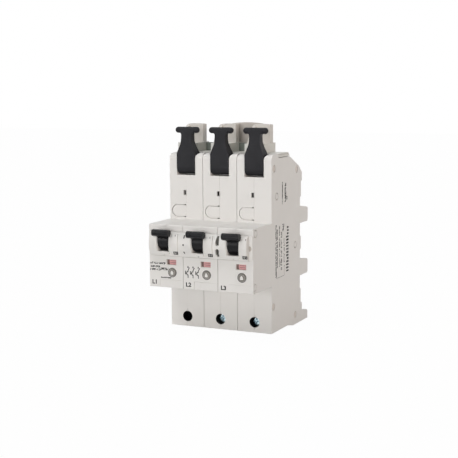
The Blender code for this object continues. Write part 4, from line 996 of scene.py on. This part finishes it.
dashTree = buildDashTree(dashSet)
sideSet = {
    "x": 40.35, "firstSeed": 41, "lineX": (40.33, 40.37),
    "lines": [
        ((-46.3, -46.1), (38.9, 46.2)), ((-31.4, -31.2), (38.9, 46.0)), ((-46.3, -31.2), (38.8, 39.0)),
        ((-39.4, -36.9), (47.6, 47.9)), ((-39.4, -36.9), (49.6, 49.9)), ((-39.4, -39.1), (47.6, 49.9)),
        ((-37.2, -36.9), (47.6, 49.9)),
    ],
    # middle y, z range, width, columns and rows of dashes, one dash across and along, share left out
    "rows": [
        (-34.9, (91.8, 107.2), 0.6, 2, 24, (0.95, 0.609), 0.22),
        (-29.2, (93.0, 106.8), 1.8, 3, 18, (1.045, 0.725), 0.3),
        (-26.3, (94.5, 97.0), 0.7, 2, 4, (1.14, 0.725), 0.3),
        (-46.8, (40.0, 77.2), 1.7, 3, 50, (0.798, 0.493), 0.26),
        (-44.3, (46.5, 74.0), 0.5, 2, 40, (0.76, 0.609), 0.4),
        (-40.4, (47.0, 76.0), 0.6, 2, 42, (0.798, 0.638), 0.38),
        (-36.8, (44.0, 71.0), 1.2, 2, 26, (1.045, 0.725), 0.42),
        (-33.4, (72.0, 76.6), 2.2, 4, 7, (1.14, 0.7975), 0.5),
        (-25.4, (41.5, 73.6), 3.2, 3, 15, (1.615, 1.247), 0.16),
        (-31.6, (45.0, 66.0), 0.6, 2, 22, (0.855, 0.725), 0.5),
    ],
}
for number, (y, z, width, columns, rows, dash, gaps) in enumerate(sideSet["rows"]):
    middle = spot(sideSet["x"], y, sum(z) / 2)
    growRows(  # the grid's x runs along the breaker's y, its y along z
        f"sidePrint_{number + 1}", "sidePrint", (width, z[1] - z[0]), (columns, rows), dash, gaps,
        sideSet["firstSeed"] + number, lambda co, middle=middle: middle + Vector((co.z, co.x, co.y)),
    )
panelLines = bmesh.new()
for y, z in sideSet["lines"]:
    addBox(panelLines, sideSet["lineX"], y, z)
addPiece("sidePanelLines", panelLines, "sidePrint", "case", "case_plastic")
frontSet = {
    "pitch": 0.46, "dash": (0.6, 0.42), "firstSeed": 71,
    # x range, middle z, columns and rows of dashes, share left out
    "rows": [
        ((-12.6, -0.9), 51.9, 24, 3, 0.35),
        ((-12.2, -5.4), 49.3, 15, 3, 0.35),
        ((-12.8, -4.6), 47.2, 17, 3, 0.3),
        ((-4.2, 1.5), 47.9, 13, 4, 0.35),
        ((-4.0, 3.6), 41.8, 15, 2, 0.4),
    ],
}
for number, (x, z, columns, rows, gaps) in enumerate(frontSet["rows"]):
    middle = spot(poleCentres[1] + sum(x) / 2, noseFace, z)
    size = (x[1] - x[0], frontSet["pitch"] * (rows - 1))
    growRows(
        f"frontPrint_{number + 1}", "printGrey", size, (columns, rows), frontSet["dash"], gaps,
        frontSet["firstSeed"] + number, lambda co, middle=middle: middle + Vector((co.x, -co.z, co.y)),
    )
print("print is ready")


# Trip coils wound along a helix
def buildCoilTree():
    tree, inputs = newTree("woundCoil", [
        ("Radius", "Float", 0.004), ("Height", "Float", 0.02), ("Turns", "Float", 5.0),
        ("Wire", "Float", 0.001),
    ])
    spiral = addNode(tree, "GeometryNodeCurveSpiral", {"Resolution": 28}, {
        "Rotations": inputs["Turns"], "Start Radius": inputs["Radius"], "End Radius": inputs["Radius"],
        "Height": inputs["Height"],
    })
    ring = addNode(tree, "GeometryNodeCurvePrimitiveCircle", {"Resolution": 12}, {"Radius": inputs["Wire"]})
    sweep = addNode(tree, "GeometryNodeCurveToMesh", {"Fill Caps": True}, {
        "Curve": spiral.outputs["Curve"], "Profile Curve": ring.outputs["Curve"],
    })
    return closeTree(tree, sweep.outputs["Mesh"], inputs["Material"])


# A thread whose radius follows the turn about the screw and the height along it
def buildThreadTree():
    tree, inputs = newTree("screwThread", [
        ("Length", "Float", 0.01), ("Core", "Float", 0.0019), ("Depth", "Float", 0.0004),
        ("Pitch", "Float", 0.0008),
    ])
    tube = addNode(tree, "GeometryNodeMeshCylinder", {"Vertices": 24, "Side Segments": 100, "Radius": 1.0}, {
        "Depth": inputs["Length"],
    })
    place = addNode(tree, "GeometryNodeInputPosition").outputs["Position"]
    parts = addNode(tree, "ShaderNodeSeparateXYZ", None, {"Vector": place}).outputs
    turn = addMath(tree, "DIVIDE", addMath(tree, "ARCTAN2", parts["Y"], parts["X"]), 2 * math.pi)
    rise = addMath(tree, "DIVIDE", parts["Z"], inputs["Pitch"])
    wave = addMath(tree, "PINGPONG", addMath(tree, "SUBTRACT", rise, turn), 0.5)
    depth = addMath(tree, "MULTIPLY", inputs["Depth"], 2.0)  # the wave only goes up to a half
    radius = addMath(tree, "MULTIPLY_ADD", wave, depth, inputs["Core"])
    wide = addNode(tree, "ShaderNodeCombineXYZ", {"Z": 1.0}, {"X": radius, "Y": radius})
    grown = addNode(tree, "ShaderNodeVectorMath", {"operation": "MULTIPLY"}, {
        0: place, 1: wide.outputs["Vector"],
    })
    shape = addNode(tree, "GeometryNodeSetPosition", None, {
        "Geometry": tube.outputs["Mesh"], "Position": grown.outputs["Vector"],
    })
    return closeTree(tree, shape.outputs["Geometry"], inputs["Material"])


coilSet = {"x": 5.55, "y": -28.0, "base": 84.0, "height": 20.0, "radius": 4.5, "wire": 1.35, "turns": 5.0}
screwSet = {
    "z": caseSet["screwHole"]["z"], "y": (-48.8, -41.3), "core": 1.9, "depth": 0.38, "pitch": 0.8,
    "head": [  # radius, y
        (0, -51.2), (2.6, -51.2), (3.05, -51.08), (3.4, -50.75), (3.5, -50.4), (3.5, -49.0), (3.3, -48.8),
        (0, -48.8),
    ],
    "slot": {"half": 0.5, "arm": 2.3, "y": (-52.2, -49.9)},
}


def crossOutline(centre, z, half, arm):  # a cross slot's outline
    cross = [(half, half), (arm, half), (arm, -half), (half, -half), (half, -arm), (-half, -arm),
             (-half, -half), (-arm, -half), (-arm, half), (-half, half), (-half, arm), (half, arm)]
    return [(centre + a, z + b) for a, b in cross]


coilTree, threadTree = buildCoilTree(), buildThreadTree()
for pole, centre in poleCentres.items():
    coil = growTree(f"coilWinding_{pole}", coilTree, "wireEnamel", {
        "Radius": coilSet["radius"] * mm, "Height": (coilSet["height"] - 2 * coilSet["wire"]) * mm,
        "Turns": coilSet["turns"], "Wire": coilSet["wire"] * mm,
    })
    foot = spot(centre + coilSet["x"], coilSet["y"], coilSet["base"] + coilSet["wire"])
    placeGrown(coil, lambda co, foot=foot: foot + co)
    smoothSides(coil, 50)
    finishPiece(coil, bodyOf[f"trip_coil_{pole}"], "winding")
    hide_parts(f"trip_coil_{pole}")

    # painted shade: pole 1's screw is drawn black for the dark of its hole, though all three screws are alike
    steel = "paintedShadeSteel" if pole == 1 else "zincPaintedGlints"
    start, tip = screwSet["y"]
    shank = growTree(f"screwThread_{pole}", threadTree, steel, {
        "Length": (tip - start) * mm, "Core": screwSet["core"] * mm, "Depth": screwSet["depth"] * mm,
        "Pitch": screwSet["pitch"] * mm,
    })
    middle = spot(centre, (tip + start) / 2, screwSet["z"])
    placeGrown(shank, lambda co, middle=middle: middle + Vector((co.x, co.z, -co.y)))
    smoothSides(shank, 40)
    finishPiece(shank, f"screw_{pole}", "zinc_steel")
    head = addTurned(bmesh.new(), screwSet["head"], (centre, 0, screwSet["z"]), "Y", 36)
    head = newItem(f"screwHead_{pole}", head, steel)
    slot = screwSet["slot"]
    outline = crossOutline(centre, screwSet["z"], slot["half"], slot["arm"])
    cutWith(head, addPrism(bmesh.new(), outline, *slot["y"], "Y"))
    smoothSides(head, 30)
    finishPiece(head, f"screw_{pole}", "zinc_steel")
    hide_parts(f"terminal_screw_{pole}")
print("coils and screws are ready")

# Inner metal parts with rounded edges
innerSet = {  # name, finish, slot, edge rounding
    "busbar_hook": ("hookBar", "platedSteel", "zinc_steel", 0.35),
    "terminal_cage": ("cageBox", "tinnedBrass", "plated_brass", 0.25),
    "bimetal_strip": ("bimetalBlade", "copper", "copper", 0.15),
    "busbar_contact": ("barContact", "copper", "copper", 0.15),
    "fixed_contact": ("restContact", "copper", "copper", 0.15),
    "contact_arm": ("switchArm", "copper", "copper", 0.2),
    "arc_chute": ("chutePlates", "darkSteel", "chute_steel", 0.1),
}
for pole in poleCentres:
    for kind, (name, material, slot, width) in innerSet.items():
        node = f"{kind}_{pole}"
        item = cadCopy(f"{name}_{pole}", node, material)
        splitFaces(item, 4)
        finishPiece(item, bodyOf[node], slot, width)
        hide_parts(node)

# CAD nodes that keep their shape
nodeFinish = {
    "trip_plunger": "platedSteel",
    "case_rivet": "rivetMetal",
    "lever_axle": "rivetMetal",
    "toggle_axle": "platedSteel",
    "arm_axle": "platedSteel",
}
for name, node in cadNodes.items():
    kind = name.rstrip("_0123456789")
    if kind in nodeFinish:
        for materialSlot in node.material_slots:
            materialSlot.material = finish[nodeFinish[kind]]
print("metal pieces are ready")
